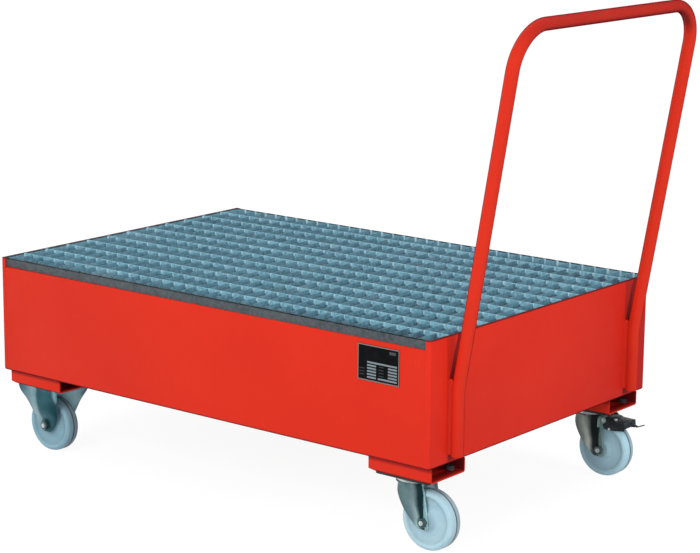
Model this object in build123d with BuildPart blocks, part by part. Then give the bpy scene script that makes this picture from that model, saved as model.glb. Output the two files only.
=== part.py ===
from build123d import *
import math
import os

# A sump trolley: a sheet tub with a lift-out grating, on two rigid castors at the
# front and two swivel castors at the rear, with a tubular push handle.
# Millimetres.  The origin lies at floor level under the middle of the overall
# bounding box.  +X points to the rear (handle) end, +Y to the right-hand side
# (the side of the braked castor), +Z up.

os.makedirs("parts", exist_ok=True)

# ---------------------------------------------------------------------------
# Driving dimensions
# ---------------------------------------------------------------------------
OVERALL_L = 1350.0
TUB_L, TUB_W, TUB_H = 1200.0, 800.0, 260.0
TUB_W2 = TUB_W / 2
TUB_X0 = -OVERALL_L / 2                 # front end face
TUB_X1 = TUB_X0 + TUB_L                 # rear end face
TUB_Z0 = 185.0                          # underside
TUB_Z1 = TUB_Z0 + TUB_H                 # top edge of the end plates

FOOT_L, FOOT_W, FOOT_H, FOOT_T = 155.0, 114.0, 30.0, 4.0
FOOT_Z0 = TUB_Z0 - FOOT_H               # where the castors bolt on

# Castor plate centres
X_FRONT, X_REAR = -582.0, 447.5
Y_LEFT, Y_RIGHT = -335.0, 315.0
FRONT_CASTORS = {"front_left": (X_FRONT, Y_LEFT), "front_right": (X_FRONT, Y_RIGHT)}
REAR_CASTORS = {"rear_left": (X_REAR, Y_LEFT), "rear_right": (X_REAR, Y_RIGHT)}
CASTORS = {**FRONT_CASTORS, **REAR_CASTORS}
BRAKED = "rear_right"

PLATE_L, PLATE_W, PLATE_T = 135.0, 104.0, 5.0   # castor top plate
PLATE_Z0 = FOOT_Z0 - PLATE_T
HOLE_DX, HOLE_DY = 105.0, 80.0          # its bolt pattern
M10_R = 5.0
PLATE_HOLE_R = M10_R + 0.05

WHEEL_R = 62.5
AXLE_Z = WHEEL_R
TRAIL = 39.0                            # swivel axis to wheel axis
LEG_IN, LEG_OUT = 23.0, 28.0            # fork leg faces at the axle, from the wheel plane
AXLE_HOLE_R = 6.1

BRAKE_X, BRAKE_Y = CASTORS[BRAKED]
PIVOT_DX, PIVOT_Z = 46.0, 131.0         # brake pivot, from the swivel axis
PIN_R = 4.0

CUT_OVER = 1.0                          # how far a cut starts outside the material
THROUGH = 120.0                         # length of a cut across a whole castor
TOL = 0.01                              # for picking vertices by coordinate


def save(builder, name):
    """Label one finished piece and write its STEP file."""
    builder.part.label = name
    export_step(builder.part, f"parts/{name}.step")


def plane_at_y(y):
    """Sketch plane with x and z as axes; a positive extrusion runs towards -Y."""
    return Plane.XZ.offset(-y)


def along_y(x, y, z):
    """Location that lays a cylinder along Y."""
    return Location((x, y, z), (90, 0, 0))


def shifted(outline, distance):
    """Move an (x, z) outline along X."""
    return [(distance + x, z) for x, z in outline]


# ---------------------------------------------------------------------------
# Tub: a folded trough (floor, long walls, inward rim ledges) and two end caps
# ---------------------------------------------------------------------------
SHEET = 3.0
RIM_Z = TUB_Z1 - 20.0                   # ledge that carries the grating
RIM_FLANGE = 25.0                       # width of that ledge
RETURN = 12.0                           # folded return of an end plate
FOLD_R = 5.0                            # outer radius of the folds


def make_sump_trough():
    wall_in = TUB_W2 - SHEET
    ledge_in = TUB_W2 - RIM_FLANGE
    floor_top = TUB_Z0 + SHEET
    ledge_under = RIM_Z - SHEET
    with BuildPart() as trough:
        with BuildSketch(Plane.YZ.offset(TUB_X0 + RETURN)) as section:
            with BuildLine():
                Polyline(
                    (-TUB_W2, RIM_Z), (-TUB_W2, TUB_Z0), (TUB_W2, TUB_Z0), (TUB_W2, RIM_Z),
                    (ledge_in, RIM_Z), (ledge_in, ledge_under),
                    (wall_in, ledge_under), (wall_in, floor_top),
                    (-wall_in, floor_top), (-wall_in, ledge_under),
                    (-ledge_in, ledge_under), (-ledge_in, RIM_Z),
                    close=True,
                )
            make_face()
            outer = [v for v in section.vertices() if abs(abs(v.X) - TUB_W2) < TOL]
            fillet(outer, FOLD_R)
            inner = [
                v for v in section.vertices()
                if abs(abs(v.X) - wall_in) < TOL
                and (abs(v.Y - floor_top) < TOL or abs(v.Y - ledge_under) < TOL)
            ]
            fillet(inner, FOLD_R - SHEET)
        extrude(amount=TUB_L - 2 * RETURN)
    save(trough, "sump_trough")


def make_end_plate(name, face_x, inward):
    """End cap with its outer face at face_x; inward is the X direction into the tub."""
    with BuildPart() as end_plate:
        with BuildSketch(Plane.YZ.offset(face_x)) as outline:
            with Locations((0, TUB_Z0 + TUB_H / 2)):
                Rectangle(TUB_W, TUB_H)
            fillet(outline.vertices().group_by(Axis.Y)[0], FOLD_R)
        extrude(amount=inward * RETURN)
        # the outside folds: both uprights and the bottom edge
        outer_face = end_plate.faces().sort_by(Axis.X)[0 if inward > 0 else -1]
        fold_edges = [e for e in outer_face.edges() if e.center().Z < TUB_Z1 - 1]
        fillet(fold_edges, FOLD_R - 1.0)
        # hollow it so that it becomes a folded sheet, open inward and at the top
        with BuildSketch(Plane.YZ.offset(face_x + inward * SHEET)) as hollow:
            with Locations((0, TUB_Z0 + SHEET + TUB_H / 2)):
                Rectangle(TUB_W - 2 * SHEET, TUB_H)
            fillet(hollow.vertices().group_by(Axis.Y)[0], FOLD_R - SHEET)
        extrude(amount=inward * RETURN, mode=Mode.SUBTRACT)
    save(end_plate, name)


# ---------------------------------------------------------------------------
# Feet: folded channels under the tub, open at both ends
# ---------------------------------------------------------------------------
FOOT_CUT_L, FOOT_CUT_H = 19.0, 4.5      # slanting cut at the front end of a foot
FOOT_FOLD_R, FOOT_FOLD_IN_R = 5.0, 1.2
FOOT_HOLE_R = M10_R + 0.5
FRONT_FOOT_SHIFT = -0.5                 # front feet, from their castor plate centres


def make_foot(place, castor_x, castor_y):
    foot_x = castor_x + (FRONT_FOOT_SHIFT if place in FRONT_CASTORS else 0.0)
    front_x = foot_x - FOOT_L / 2
    left, right = castor_y - FOOT_W / 2, castor_y + FOOT_W / 2
    web_top = FOOT_Z0 + FOOT_T
    with BuildPart() as foot:
        with BuildSketch(Plane.YZ.offset(front_x)) as channel:
            with BuildLine():
                Polyline(
                    (left, TUB_Z0), (left, FOOT_Z0), (right, FOOT_Z0), (right, TUB_Z0),
                    (right - FOOT_T, TUB_Z0), (right - FOOT_T, web_top),
                    (left + FOOT_T, web_top), (left + FOOT_T, TUB_Z0),
                    close=True,
                )
            make_face()
            fillet([v for v in channel.vertices() if abs(v.Y - FOOT_Z0) < TOL], FOOT_FOLD_R)
            fillet([v for v in channel.vertices() if abs(v.Y - web_top) < TOL], FOOT_FOLD_IN_R)
        extrude(amount=FOOT_L)
        with BuildSketch(Plane.XY.offset(FOOT_Z0 - CUT_OVER)):
            with Locations((castor_x, castor_y)):
                with GridLocations(HOLE_DX, HOLE_DY, 2, 2):
                    Circle(FOOT_HOLE_R)
        extrude(amount=FOOT_T + 2 * CUT_OVER, mode=Mode.SUBTRACT)
        # slanting cut along the lower edge of the front end
        with BuildSketch(plane_at_y(castor_y + FOOT_W)):
            with BuildLine():
                Polyline(
                    (front_x - CUT_OVER, FOOT_Z0 - CUT_OVER),
                    (front_x + FOOT_CUT_L, FOOT_Z0 - CUT_OVER),
                    (front_x + FOOT_CUT_L, FOOT_Z0),
                    (front_x - CUT_OVER, FOOT_Z0 + FOOT_CUT_H),
                    close=True,
                )
            make_face()
        extrude(amount=2 * FOOT_W, mode=Mode.SUBTRACT)
    save(foot, f"foot_{place}")


# ---------------------------------------------------------------------------
# Push handle: one tube, upright against the rear plate, kinked outward, with
# two corner bends and a straight grip
# ---------------------------------------------------------------------------
TUBE_R, TUBE_WALL = 13.45, 2.65
HANDLE_X = TUB_X1 + TUBE_R              # the uprights touch the rear plate
HANDLE_Y = 325.0
HANDLE_FOOT_Z = TUB_Z0 + 16.0
HANDLE_KINK_Z = TUB_Z0 + 150.0
GRIP_X, GRIP_Z = OVERALL_L / 2 - TUBE_R, TUB_Z0 + 868.0
KINK_R, CORNER_R = 70.0, 86.0           # bend radii on the tube centre line


def make_handle_tube():
    points = [
        Vector(HANDLE_X, -HANDLE_Y, HANDLE_FOOT_Z),
        Vector(HANDLE_X, -HANDLE_Y, HANDLE_KINK_Z),
        Vector(GRIP_X, -HANDLE_Y, GRIP_Z),
        Vector(GRIP_X, HANDLE_Y, GRIP_Z),
        Vector(HANDLE_X, HANDLE_Y, HANDLE_KINK_Z),
        Vector(HANDLE_X, HANDLE_Y, HANDLE_FOOT_Z),
    ]
    bend_radii = [KINK_R, CORNER_R, CORNER_R, KINK_R]
    with BuildPart() as handle:
        with BuildLine():
            start = points[0]
            for before, corner, after, radius in zip(points, points[1:], points[2:], bend_radii):
                into = (corner - before).normalized()
                out = (after - corner).normalized()
                half_angle = math.acos(max(-1.0, min(1.0, into.dot(out)))) / 2
                tangent = radius * math.tan(half_angle)
                arc_start = corner - into * tangent
                arc_end = corner + out * tangent
                sagitta = radius / math.cos(half_angle) - radius
                arc_mid = corner + (out - into).normalized() * sagitta
                Line(start, arc_start)
                ThreePointArc(arc_start, arc_mid, arc_end)
                start = arc_end
            Line(start, points[-1])
        with BuildSketch(Plane.XY.offset(HANDLE_FOOT_Z)):
            with Locations((HANDLE_X, -HANDLE_Y)):
                Circle(TUBE_R)
                Circle(TUBE_R - TUBE_WALL, mode=Mode.SUBTRACT)
        sweep()
    save(handle, "handle_tube")


# ---------------------------------------------------------------------------
# Rating plate, a plain sheet on the left long wall
# ---------------------------------------------------------------------------
LABEL_X0, LABEL_X1 = 347.0, 451.0
LABEL_Z0, LABEL_Z1 = 341.0, 415.0
LABEL_T, LABEL_CORNER_R = 1.0, 1.5


def make_id_plate():
    with BuildPart() as id_plate:
        with BuildSketch(plane_at_y(-TUB_W2)):
            with Locations(((LABEL_X0 + LABEL_X1) / 2, (LABEL_Z0 + LABEL_Z1) / 2)):
                RectangleRounded(LABEL_X1 - LABEL_X0, LABEL_Z1 - LABEL_Z0, LABEL_CORNER_R)
        extrude(amount=LABEL_T)
    save(id_plate, "id_plate")


# ---------------------------------------------------------------------------
# Grating: edge frame, slotted bearing bars across the tub, cross bars along it
# ---------------------------------------------------------------------------
MESH_X, MESH_Y = TUB_L / 36, TUB_W / 12  # bar pitches
GRATE_PLAY = 3.5                        # grating edge inside the tub's outer faces
GRATE_L = TUB_L - 2 * GRATE_PLAY
GRATE_W = TUB_W - 2 * GRATE_PLAY
GRATE_X = (TUB_X0 + TUB_X1) / 2
GRATE_H = 20.0 - 0.05                   # ledge depth less a small gap
GRATE_Z1 = TUB_Z1
GRATE_Z0 = GRATE_Z1 - GRATE_H
FRAME_T = 3.0
BAR_T = 2.5
CROSS_H, CROSS_T = 10.0, 2.0
SLOT_GAP = 0.05                         # play of a cross bar in a slot
BAR_END_GAP = 0.03                      # between a bar end and the frame
BAR_XS = [GRATE_X + MESH_X * i for i in range(-17, 18)]
CROSS_YS = [MESH_Y * i for i in range(-5, 6)]


def make_grating_frame():
    with BuildPart() as frame:
        with BuildSketch(Plane.XY.offset(GRATE_Z0)):
            with Locations((GRATE_X, 0)):
                Rectangle(GRATE_L, GRATE_W)
                Rectangle(GRATE_L - 2 * FRAME_T, GRATE_W - 2 * FRAME_T, mode=Mode.SUBTRACT)
        extrude(amount=GRATE_H)
    save(frame, "grating_frame")


def make_grating_bearing_bars():
    bar_length = GRATE_W - 2 * (FRAME_T + BAR_END_GAP)
    with BuildPart() as bars:
        for x in BAR_XS:
            with BuildSketch(Plane.YZ.offset(x - BAR_T / 2)):
                with Locations((0, (GRATE_Z0 + GRATE_Z1) / 2)):
                    Rectangle(bar_length, GRATE_H)
                with Locations(*[(y, GRATE_Z1 - CROSS_H / 2) for y in CROSS_YS]):
                    Rectangle(
                        CROSS_T + 2 * SLOT_GAP, CROSS_H + 2 * SLOT_GAP, mode=Mode.SUBTRACT
                    )
        extrude(amount=BAR_T)
    save(bars, "grating_bearing_bars")


def make_grating_cross_bars():
    with BuildPart() as bars:
        with BuildSketch(Plane.XY.offset(GRATE_Z1 - CROSS_H)):
            with Locations(*[(GRATE_X, y) for y in CROSS_YS]):
                Rectangle(GRATE_L - 2 * (FRAME_T + BAR_END_GAP), CROSS_T)
        extrude(amount=CROSS_H)
    save(bars, "grating_cross_bars")


# ---------------------------------------------------------------------------
# Castor fasteners: four hexagon bolts on washers at each foot
# ---------------------------------------------------------------------------
M10_AF, M10_HEAD_H, M10_CHAMFER = 16.0, 6.4, 0.7
WASHER_R, WASHER_HOLE_R, WASHER_T = 9.4, M10_R + 0.3, 1.6
HEAD_SEAT_Z = FOOT_Z0 + FOOT_T + WASHER_T
M10_END_Z = PLATE_Z0 + 0.2
HOLE_POINTS = [
    (castor_x + sx * HOLE_DX / 2, castor_y + sy * HOLE_DY / 2)
    for castor_x, castor_y in CASTORS.values() for sx in (-1, 1) for sy in (-1, 1)
]


def make_castor_bolts():
    with BuildPart() as bolts:
        # heads inside the channel
        with BuildSketch(Plane.XY.offset(HEAD_SEAT_Z)):
            with Locations(*HOLE_POINTS):
                RegularPolygon(M10_AF / 2, 6, major_radius=False, rotation=30)
        extrude(amount=M10_HEAD_H)
        chamfer(bolts.faces().group_by(Axis.Z)[-1].edges(), M10_CHAMFER)
        # shanks down into the castor plate
        with BuildSketch(Plane.XY.offset(M10_END_Z)):
            with Locations(*HOLE_POINTS):
                Circle(M10_R)
        extrude(amount=HEAD_SEAT_Z - M10_END_Z)
    save(bolts, "castor_bolts")


def make_castor_washers():
    with BuildPart() as washers:
        with BuildSketch(Plane.XY.offset(FOOT_Z0 + FOOT_T)):
            with Locations(*HOLE_POINTS):
                Circle(WASHER_R)
                Circle(WASHER_HOLE_R, mode=Mode.SUBTRACT)
        extrude(amount=WASHER_T)
    save(washers, "castor_washers")


# ---------------------------------------------------------------------------
# Fork legs: pressed sheets, bowed outward in plan and lofted through stations
# ---------------------------------------------------------------------------
LEG_T = 4.0
LEG_MID, LEG_SEAT_T = (LEG_IN + LEG_OUT) / 2, LEG_OUT - LEG_IN
FACING_H = 12.0                         # depth of the cut that faces a seat outside

# Stations: height, front edge x, rear edge x, distance of the outer face from the
# wheel plane, bow at the front edge, bow at the rear edge.  The x values count
# from the castor plate centre.
RIGID_LEG = [
    (152.0, -61.0, 61.0, 52.0, 0.5, 0.5),
    (141.0, -57.0, 57.0, 52.0, 2.0, 2.0),
    (126.0, -50.0, 50.0, 50.6, 7.0, 7.0),
    (109.0, -43.0, 43.0, 47.0, 10.0, 10.0),
    (91.0, -37.5, 37.5, 39.6, 8.5, 8.5),
    (76.0, -31.5, 31.5, 31.0, 3.5, 3.5),
    (66.0, -27.0, 27.0, 28.2, 1.5, 1.5),
    (58.0, -22.5, 22.5, 27.8, 1.0, 1.0),
    (53.0, -19.0, 19.0, 27.6, 0.6, 0.6),
    (47.0, -10.0, 10.0, 27.5, 0.4, 0.4),
]
SWIVEL_LEG = [
    (139.5, -27.0, 34.0, 39.5, 12.0, 14.0),
    (123.0, -26.5, 36.0, 37.5, 10.0, 13.0),
    (107.0, -24.5, 39.0, 34.0, 7.0, 9.0),
    (91.0, -17.0, 42.5, 31.0, 4.0, 5.0),
    (77.0, -7.5, 45.0, 29.0, 2.0, 2.5),
    (62.5, 6.5, 47.0, 28.0, 0.8, 1.0),
    (52.0, 17.5, 48.0, 27.6, 0.5, 0.5),
    (47.0, 26.0, 43.5, 27.5, 0.4, 0.4),
]
# Place of the widest point of the bow, as a share of the way from front to rear
RIGID_BOW_SHARE, SWIVEL_BOW_SHARE = 0.5, 0.55


def leg_sections(stations, castor_x, castor_y, side, bow_share):
    """Yield the height and the outer and inner arc points (front, bow, rear) of a leg."""
    for z, x_front, x_rear, reach, bow_front, bow_rear in stations:
        x_bow = (1 - bow_share) * x_front + bow_share * x_rear
        outer = [
            (castor_x + x_front, castor_y + side * (reach - bow_front)),
            (castor_x + x_bow, castor_y + side * reach),
            (castor_x + x_rear, castor_y + side * (reach - bow_rear)),
        ]
        inner = [(x, y - side * LEG_T) for x, y in outer]
        yield z, outer, inner


# ---------------------------------------------------------------------------
# Rigid castor fork: plate and two legs in one pressing
# ---------------------------------------------------------------------------
RIGID_PLATE_CORNER_R = 12.0
RIGID_SEAT_R, RIGID_FACING_R, RIGID_INNER_R = 15.0, 14.0, 13.0


def make_rigid_fork(place, castor_x, castor_y):
    with BuildPart() as fork:
        with BuildSketch(Plane.XY.offset(PLATE_Z0)):
            with Locations((castor_x, castor_y)):
                RectangleRounded(PLATE_L, PLATE_W, RIGID_PLATE_CORNER_R)
        extrude(amount=PLATE_T)
        for side in (-1, 1):
            for z, outer, inner in leg_sections(
                RIGID_LEG, castor_x, castor_y, side, RIGID_BOW_SHARE
            ):
                with BuildSketch(Plane.XY.offset(z)):
                    with BuildLine():
                        ThreePointArc(outer[0], outer[1], outer[2])
                        Line(outer[2], inner[2])
                        ThreePointArc(inner[2], inner[1], inner[0])
                        Line(inner[0], outer[0])
                    make_face()
            loft()
            # flat seat for the axle, faced on the outside
            with Locations(along_y(castor_x, castor_y + side * LEG_MID, AXLE_Z)):
                Cylinder(RIGID_SEAT_R, LEG_SEAT_T)
            facing_y = castor_y + side * (LEG_OUT + FACING_H / 2)
            with Locations(along_y(castor_x, facing_y, AXLE_Z)):
                Cylinder(RIGID_FACING_R, FACING_H, mode=Mode.SUBTRACT)
        with Locations(along_y(castor_x, castor_y, AXLE_Z)):
            Cylinder(RIGID_INNER_R, 2 * LEG_IN, mode=Mode.SUBTRACT)
            Cylinder(AXLE_HOLE_R, THROUGH, mode=Mode.SUBTRACT)
        with BuildSketch(Plane.XY.offset(PLATE_Z0 - CUT_OVER)):
            with Locations((castor_x, castor_y)):
                with GridLocations(HOLE_DX, HOLE_DY, 2, 2):
                    Circle(PLATE_HOLE_R)
        extrude(amount=PLATE_T + 2 * CUT_OVER, mode=Mode.SUBTRACT)
    save(fork, f"rigid_fork_{place}")


# ---------------------------------------------------------------------------
# Swivel castor: top plate, kingpin, fork and ball race
# ---------------------------------------------------------------------------
SWIVEL_PLATE_CORNER_R = 10.0
TRACK_R, TRACK_BORE_R, TRACK_H = 36.0, 20.0, 1.4   # raised rings above and below the balls

KINGPIN_R, KINGPIN_Z0 = 8.0, 126.0
KINGPIN_HEAD_R, KINGPIN_HEAD_H = 13.9, 2.9
KINGPIN_HEAD_Z0 = FOOT_Z0 - 2.95
KINGPIN_SHANK_Z1 = FOOT_Z0 - 2.0        # ends inside the head
RECESS_R, RECESS_H = 14.0, 3.0          # pocket for the kingpin head
KINGPIN_NUT_AF, KINGPIN_NUT_H, KINGPIN_NUT_Z0 = 24.0, 9.4, 127.5

HEAD_R, HEAD_EDGE_R = 41.0, 3.0         # swivel head of the fork
HEAD_Z0, HEAD_Z1 = 137.0, 141.0
KINGPIN_BORE_H = 8.0
SWIVEL_SEAT_R, SWIVEL_FACING_R, SWIVEL_INNER_R = 14.0, 12.5, 12.0
SWIVEL_SEAT_DX = TRAIL - 5              # the seat pad sits ahead of the axle

# Ears of the braked fork that carry the brake pivot
EAR_MID, EAR_T = 26.3, 3.6
# (x from the swivel axis, z)
EAR_OUTLINE = [
    (22.0, 138.0), (48.0, 138.0), (52.0, 134.5), (52.0, 127.5),
    (47.0, 124.0), (38.5, 114.0), (26.0, 114.0),
]
EAR_FLANGE_SIZE = (3.0, 8.8, 21.0)
EAR_FLANGE_DX, EAR_FLANGE_MID, EAR_FLANGE_Z = 37.0, 29.6, 125.5

RING_R, RING_BORE_R, RING_H, RING_EDGE_R = 40.5, 36.6, 7.6, 1.5
RING_GAP = 0.02                         # under the dust ring
BALL_R, BALL_CIRCLE_R, BALLS = 2.95, 30.0, 18


def make_swivel_plate(place, castor_x, castor_y):
    """Fixed top plate with the upper ball track."""
    with BuildPart() as plate:
        with BuildSketch(Plane.XY.offset(PLATE_Z0)):
            with Locations((castor_x, castor_y)):
                RectangleRounded(PLATE_L, PLATE_W, SWIVEL_PLATE_CORNER_R)
        extrude(amount=PLATE_T)
        with BuildSketch(Plane.XY.offset(PLATE_Z0)):
            with Locations((castor_x, castor_y)):
                Circle(TRACK_R)
                Circle(TRACK_BORE_R, mode=Mode.SUBTRACT)
        extrude(amount=-TRACK_H)
        with BuildSketch(Plane.XY.offset(PLATE_Z0 - CUT_OVER)):
            with Locations((castor_x, castor_y)):
                with GridLocations(HOLE_DX, HOLE_DY, 2, 2):
                    Circle(PLATE_HOLE_R)
                Circle(KINGPIN_R + 0.05)
        extrude(amount=PLATE_T + 2 * CUT_OVER, mode=Mode.SUBTRACT)
        with Locations((castor_x, castor_y, FOOT_Z0 - RECESS_H / 2)):
            Cylinder(RECESS_R, RECESS_H, mode=Mode.SUBTRACT)
    save(plate, f"swivel_plate_{place}")


def make_kingpins():
    with BuildPart() as kingpins:
        for castor_x, castor_y in REAR_CASTORS.values():
            with BuildSketch(Plane.XY.offset(KINGPIN_HEAD_Z0)):
                with Locations((castor_x, castor_y)):
                    Circle(KINGPIN_HEAD_R)
            extrude(amount=KINGPIN_HEAD_H)
            with BuildSketch(Plane.XY.offset(KINGPIN_Z0)):
                with Locations((castor_x, castor_y)):
                    Circle(KINGPIN_R)
            extrude(amount=KINGPIN_SHANK_Z1 - KINGPIN_Z0)
    save(kingpins, "kingpins")


def make_kingpin_nuts():
    with BuildPart() as nuts:
        with BuildSketch(Plane.XY.offset(KINGPIN_NUT_Z0)):
            with Locations(*REAR_CASTORS.values()):
                RegularPolygon(KINGPIN_NUT_AF / 2, 6, major_radius=False)
                Circle(KINGPIN_R + 0.02, mode=Mode.SUBTRACT)
        extrude(amount=KINGPIN_NUT_H)
    save(nuts, "kingpin_nuts")


def make_swivel_fork(place, castor_x, castor_y):
    axle_x = castor_x + TRAIL
    with BuildPart() as fork:
        # swivel head: disc with a rounded edge, carrying the lower ball track
        with BuildSketch(Plane.XY.offset(HEAD_Z0)):
            with Locations((castor_x, castor_y)):
                Circle(HEAD_R)
        extrude(amount=HEAD_Z1 - HEAD_Z0)
        fillet(fork.faces().sort_by(Axis.Z)[-1].edges(), HEAD_EDGE_R)
        with BuildSketch(Plane.XY.offset(HEAD_Z1)):
            with Locations((castor_x, castor_y)):
                Circle(TRACK_R)
                Circle(TRACK_BORE_R, mode=Mode.SUBTRACT)
        extrude(amount=TRACK_H)
        for side in (-1, 1):
            for z, outer, inner in leg_sections(
                SWIVEL_LEG, castor_x, castor_y, side, SWIVEL_BOW_SHARE
            ):
                with BuildSketch(Plane.XY.offset(z)):
                    with BuildLine():
                        ThreePointArc(outer[0], outer[1], outer[2])
                        Line(outer[2], inner[2])
                        ThreePointArc(inner[2], inner[1], inner[0])
                        Line(inner[0], outer[0])
                    make_face()
            loft()
            # flat seat for the axle, faced on the outside
            seat_x = castor_x + SWIVEL_SEAT_DX
            with Locations(along_y(seat_x, castor_y + side * LEG_MID, AXLE_Z)):
                Cylinder(SWIVEL_SEAT_R, LEG_SEAT_T)
            facing_y = castor_y + side * (LEG_OUT + FACING_H / 2)
            with Locations(along_y(axle_x, facing_y, AXLE_Z)):
                Cylinder(SWIVEL_FACING_R, FACING_H, mode=Mode.SUBTRACT)
            if place == BRAKED:
                with BuildSketch(plane_at_y(castor_y + side * EAR_MID + EAR_T / 2)):
                    with BuildLine():
                        Polyline(*shifted(EAR_OUTLINE, castor_x), close=True)
                    make_face()
                extrude(amount=EAR_T)
                # outward flange across the rear edge of the leg
                flange_y = castor_y + side * EAR_FLANGE_MID
                with Locations((castor_x + EAR_FLANGE_DX, flange_y, EAR_FLANGE_Z)):
                    Box(*EAR_FLANGE_SIZE)
        with Locations(along_y(axle_x, castor_y, AXLE_Z)):
            Cylinder(SWIVEL_INNER_R, 2 * LEG_IN, mode=Mode.SUBTRACT)
            Cylinder(AXLE_HOLE_R, THROUGH, mode=Mode.SUBTRACT)
        if place == BRAKED:
            with Locations(along_y(castor_x + PIVOT_DX, castor_y, PIVOT_Z)):
                Cylinder(PIN_R + 0.03, THROUGH, mode=Mode.SUBTRACT)
        # kingpin bore
        with BuildSketch(Plane.XY.offset(HEAD_Z0 - CUT_OVER)):
            with Locations((castor_x, castor_y)):
                Circle(KINGPIN_R + 0.06)
        extrude(amount=KINGPIN_BORE_H, mode=Mode.SUBTRACT)
    save(fork, f"swivel_fork_{place}")


def make_race_ring(place, castor_x, castor_y):
    """Dust ring round the balls."""
    with BuildPart() as ring:
        with BuildSketch(Plane.XY.offset(HEAD_Z1 + RING_GAP)):
            with Locations((castor_x, castor_y)):
                Circle(RING_R)
                Circle(RING_BORE_R, mode=Mode.SUBTRACT)
        extrude(amount=RING_H)
        top_face = ring.faces().sort_by(Axis.Z)[-1]
        fillet(top_face.edges().sort_by(SortBy.LENGTH)[-1], RING_EDGE_R)
    save(ring, f"race_ring_{place}")


def make_race_balls(place, castor_x, castor_y):
    with BuildPart() as balls:
        with Locations((castor_x, castor_y, (HEAD_Z1 + PLATE_Z0) / 2)):
            with PolarLocations(BALL_CIRCLE_R, BALLS):
                Sphere(BALL_R)
    save(balls, f"race_balls_{place}")


# ---------------------------------------------------------------------------
# Wheels with their sleeves, axle bolts and nuts
# ---------------------------------------------------------------------------
SLEEVE_R, SLEEVE_BORE_R = 10.0, 6.1
SLEEVE_L = 2 * LEG_IN - 0.06
WHEEL_BORE_R = 10.08                    # runs on the sleeve
HUB_W2 = 22.0                           # half length of the hub

# Half section from hub to tread: radius, distance from the wheel plane
WHEEL_HALF_PROFILE = [
    (WHEEL_BORE_R, HUB_W2), (17.0, HUB_W2), (19.5, HUB_W2 - 2.5), (24.0, 15.5),
    (33.0, 12.8), (45.0, 12.8), (50.0, 16.2), (52.5, 17.5), (56.0, 17.5),
    (60.8, 14.0), (62.2, 10.0), (WHEEL_R, 1.2), (WHEEL_R - 1.5, 0.5),
]
# Radii of the profile corners that are rounded together, and their fillet
WHEEL_FILLETS = [((45.0, 33.0), 6.0), ((52.5, 24.0), 1.0), ((56.0, 60.8), 2.0)]

BOLT_R = 6.0                            # M12 axle bolt
AXLE_HEX_APOTHEM, AXLE_HEX_TURN = 9.2, 12
AXLE_HEAD_H, AXLE_HEAD_CHAMFER = 7.5, 0.9
AXLE_NUT_H = 10.77
HEX_GAP = 0.03                          # between a leg and the bolt head or nut
BOLT_END = LEG_OUT + 13.0               # right end of the bolt, from the wheel plane


def make_wheel(place, wheel_x, wheel_y):
    profile = [(radius, -width) for radius, width in WHEEL_HALF_PROFILE]
    profile += reversed(WHEEL_HALF_PROFILE)
    centre = (wheel_x, wheel_y, AXLE_Z)
    with BuildPart() as wheel:
        with BuildSketch(Plane(origin=centre, x_dir=(1, 0, 0), z_dir=(0, 0, 1))) as section:
            with BuildLine():
                Polyline(*profile, close=True)
            make_face()
            for radii, fillet_r in WHEEL_FILLETS:
                corners = [
                    v for v in section.vertices() if any(abs(v.X - r) < TOL for r in radii)
                ]
                fillet(corners, fillet_r)
        revolve(axis=Axis(centre, (0, 1, 0)))
    save(wheel, f"wheel_{place}")


def make_axle_sleeve(place, wheel_x, wheel_y):
    with BuildPart() as sleeve:
        with Locations(along_y(wheel_x, wheel_y, AXLE_Z)):
            Cylinder(SLEEVE_R, SLEEVE_L)
            Cylinder(SLEEVE_BORE_R, 2 * LEG_IN, mode=Mode.SUBTRACT)
    save(sleeve, f"axle_sleeve_{place}")


def make_axle_bolt(place, wheel_x, wheel_y):
    with BuildPart() as bolt:
        # hexagon head on the left side, plain shank through both legs
        with BuildSketch(plane_at_y(wheel_y - LEG_OUT - HEX_GAP)):
            with Locations((wheel_x, AXLE_Z)):
                RegularPolygon(AXLE_HEX_APOTHEM, 6, major_radius=False, rotation=AXLE_HEX_TURN)
        extrude(amount=AXLE_HEAD_H)
        chamfer(bolt.faces().sort_by(Axis.Y)[0].edges(), AXLE_HEAD_CHAMFER)
        with BuildSketch(plane_at_y(wheel_y + BOLT_END)):
            with Locations((wheel_x, AXLE_Z)):
                Circle(BOLT_R)
        extrude(amount=BOLT_END + LEG_OUT + HEX_GAP)
    save(bolt, f"axle_bolt_{place}")


def make_axle_nut(place, wheel_x, wheel_y):
    with BuildPart() as nut:
        with BuildSketch(plane_at_y(wheel_y + LEG_OUT + HEX_GAP + AXLE_NUT_H)):
            with Locations((wheel_x, AXLE_Z)):
                RegularPolygon(AXLE_HEX_APOTHEM, 6, major_radius=False, rotation=AXLE_HEX_TURN)
                Circle(BOLT_R + 0.02, mode=Mode.SUBTRACT)
        extrude(amount=AXLE_NUT_H)
    save(nut, f"axle_nut_{place}")


# ---------------------------------------------------------------------------
# Wheel brake of the right rear castor.  Outlines are (x from the swivel axis, z).
# ---------------------------------------------------------------------------
CHEEK_IN, CHEEK_OUT = 21.3, 23.9        # cheek faces, from the wheel plane
PEDAL_END = 97.5                        # rear end of the cheeks
CHEEK_OUTLINE = [
    (41.2, 126.0), (42.5, 134.0), (46.0, 136.2), (62.0, 134.4), (66.0, 132.2),
    (PEDAL_END, 131.2), (PEDAL_END, 113.6), (62.0, 109.4), (56.0, 109.4),
    (46.5, 111.0), (42.0, 119.0),
]
PEDAL_TOP_OUTLINE = [
    (46.0, 136.2), (62.0, 134.4), (66.0, 132.2), (PEDAL_END - 3.0, 131.3),
    (PEDAL_END, 128.6), (PEDAL_END + 1.2, 118.6), (PEDAL_END - 1.4, 118.3),
    (PEDAL_END - 2.6, 127.6), (PEDAL_END - 4.0, 128.7), (65.6, 129.6),
    (61.4, 131.8), (46.0, 133.6),
]
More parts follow.
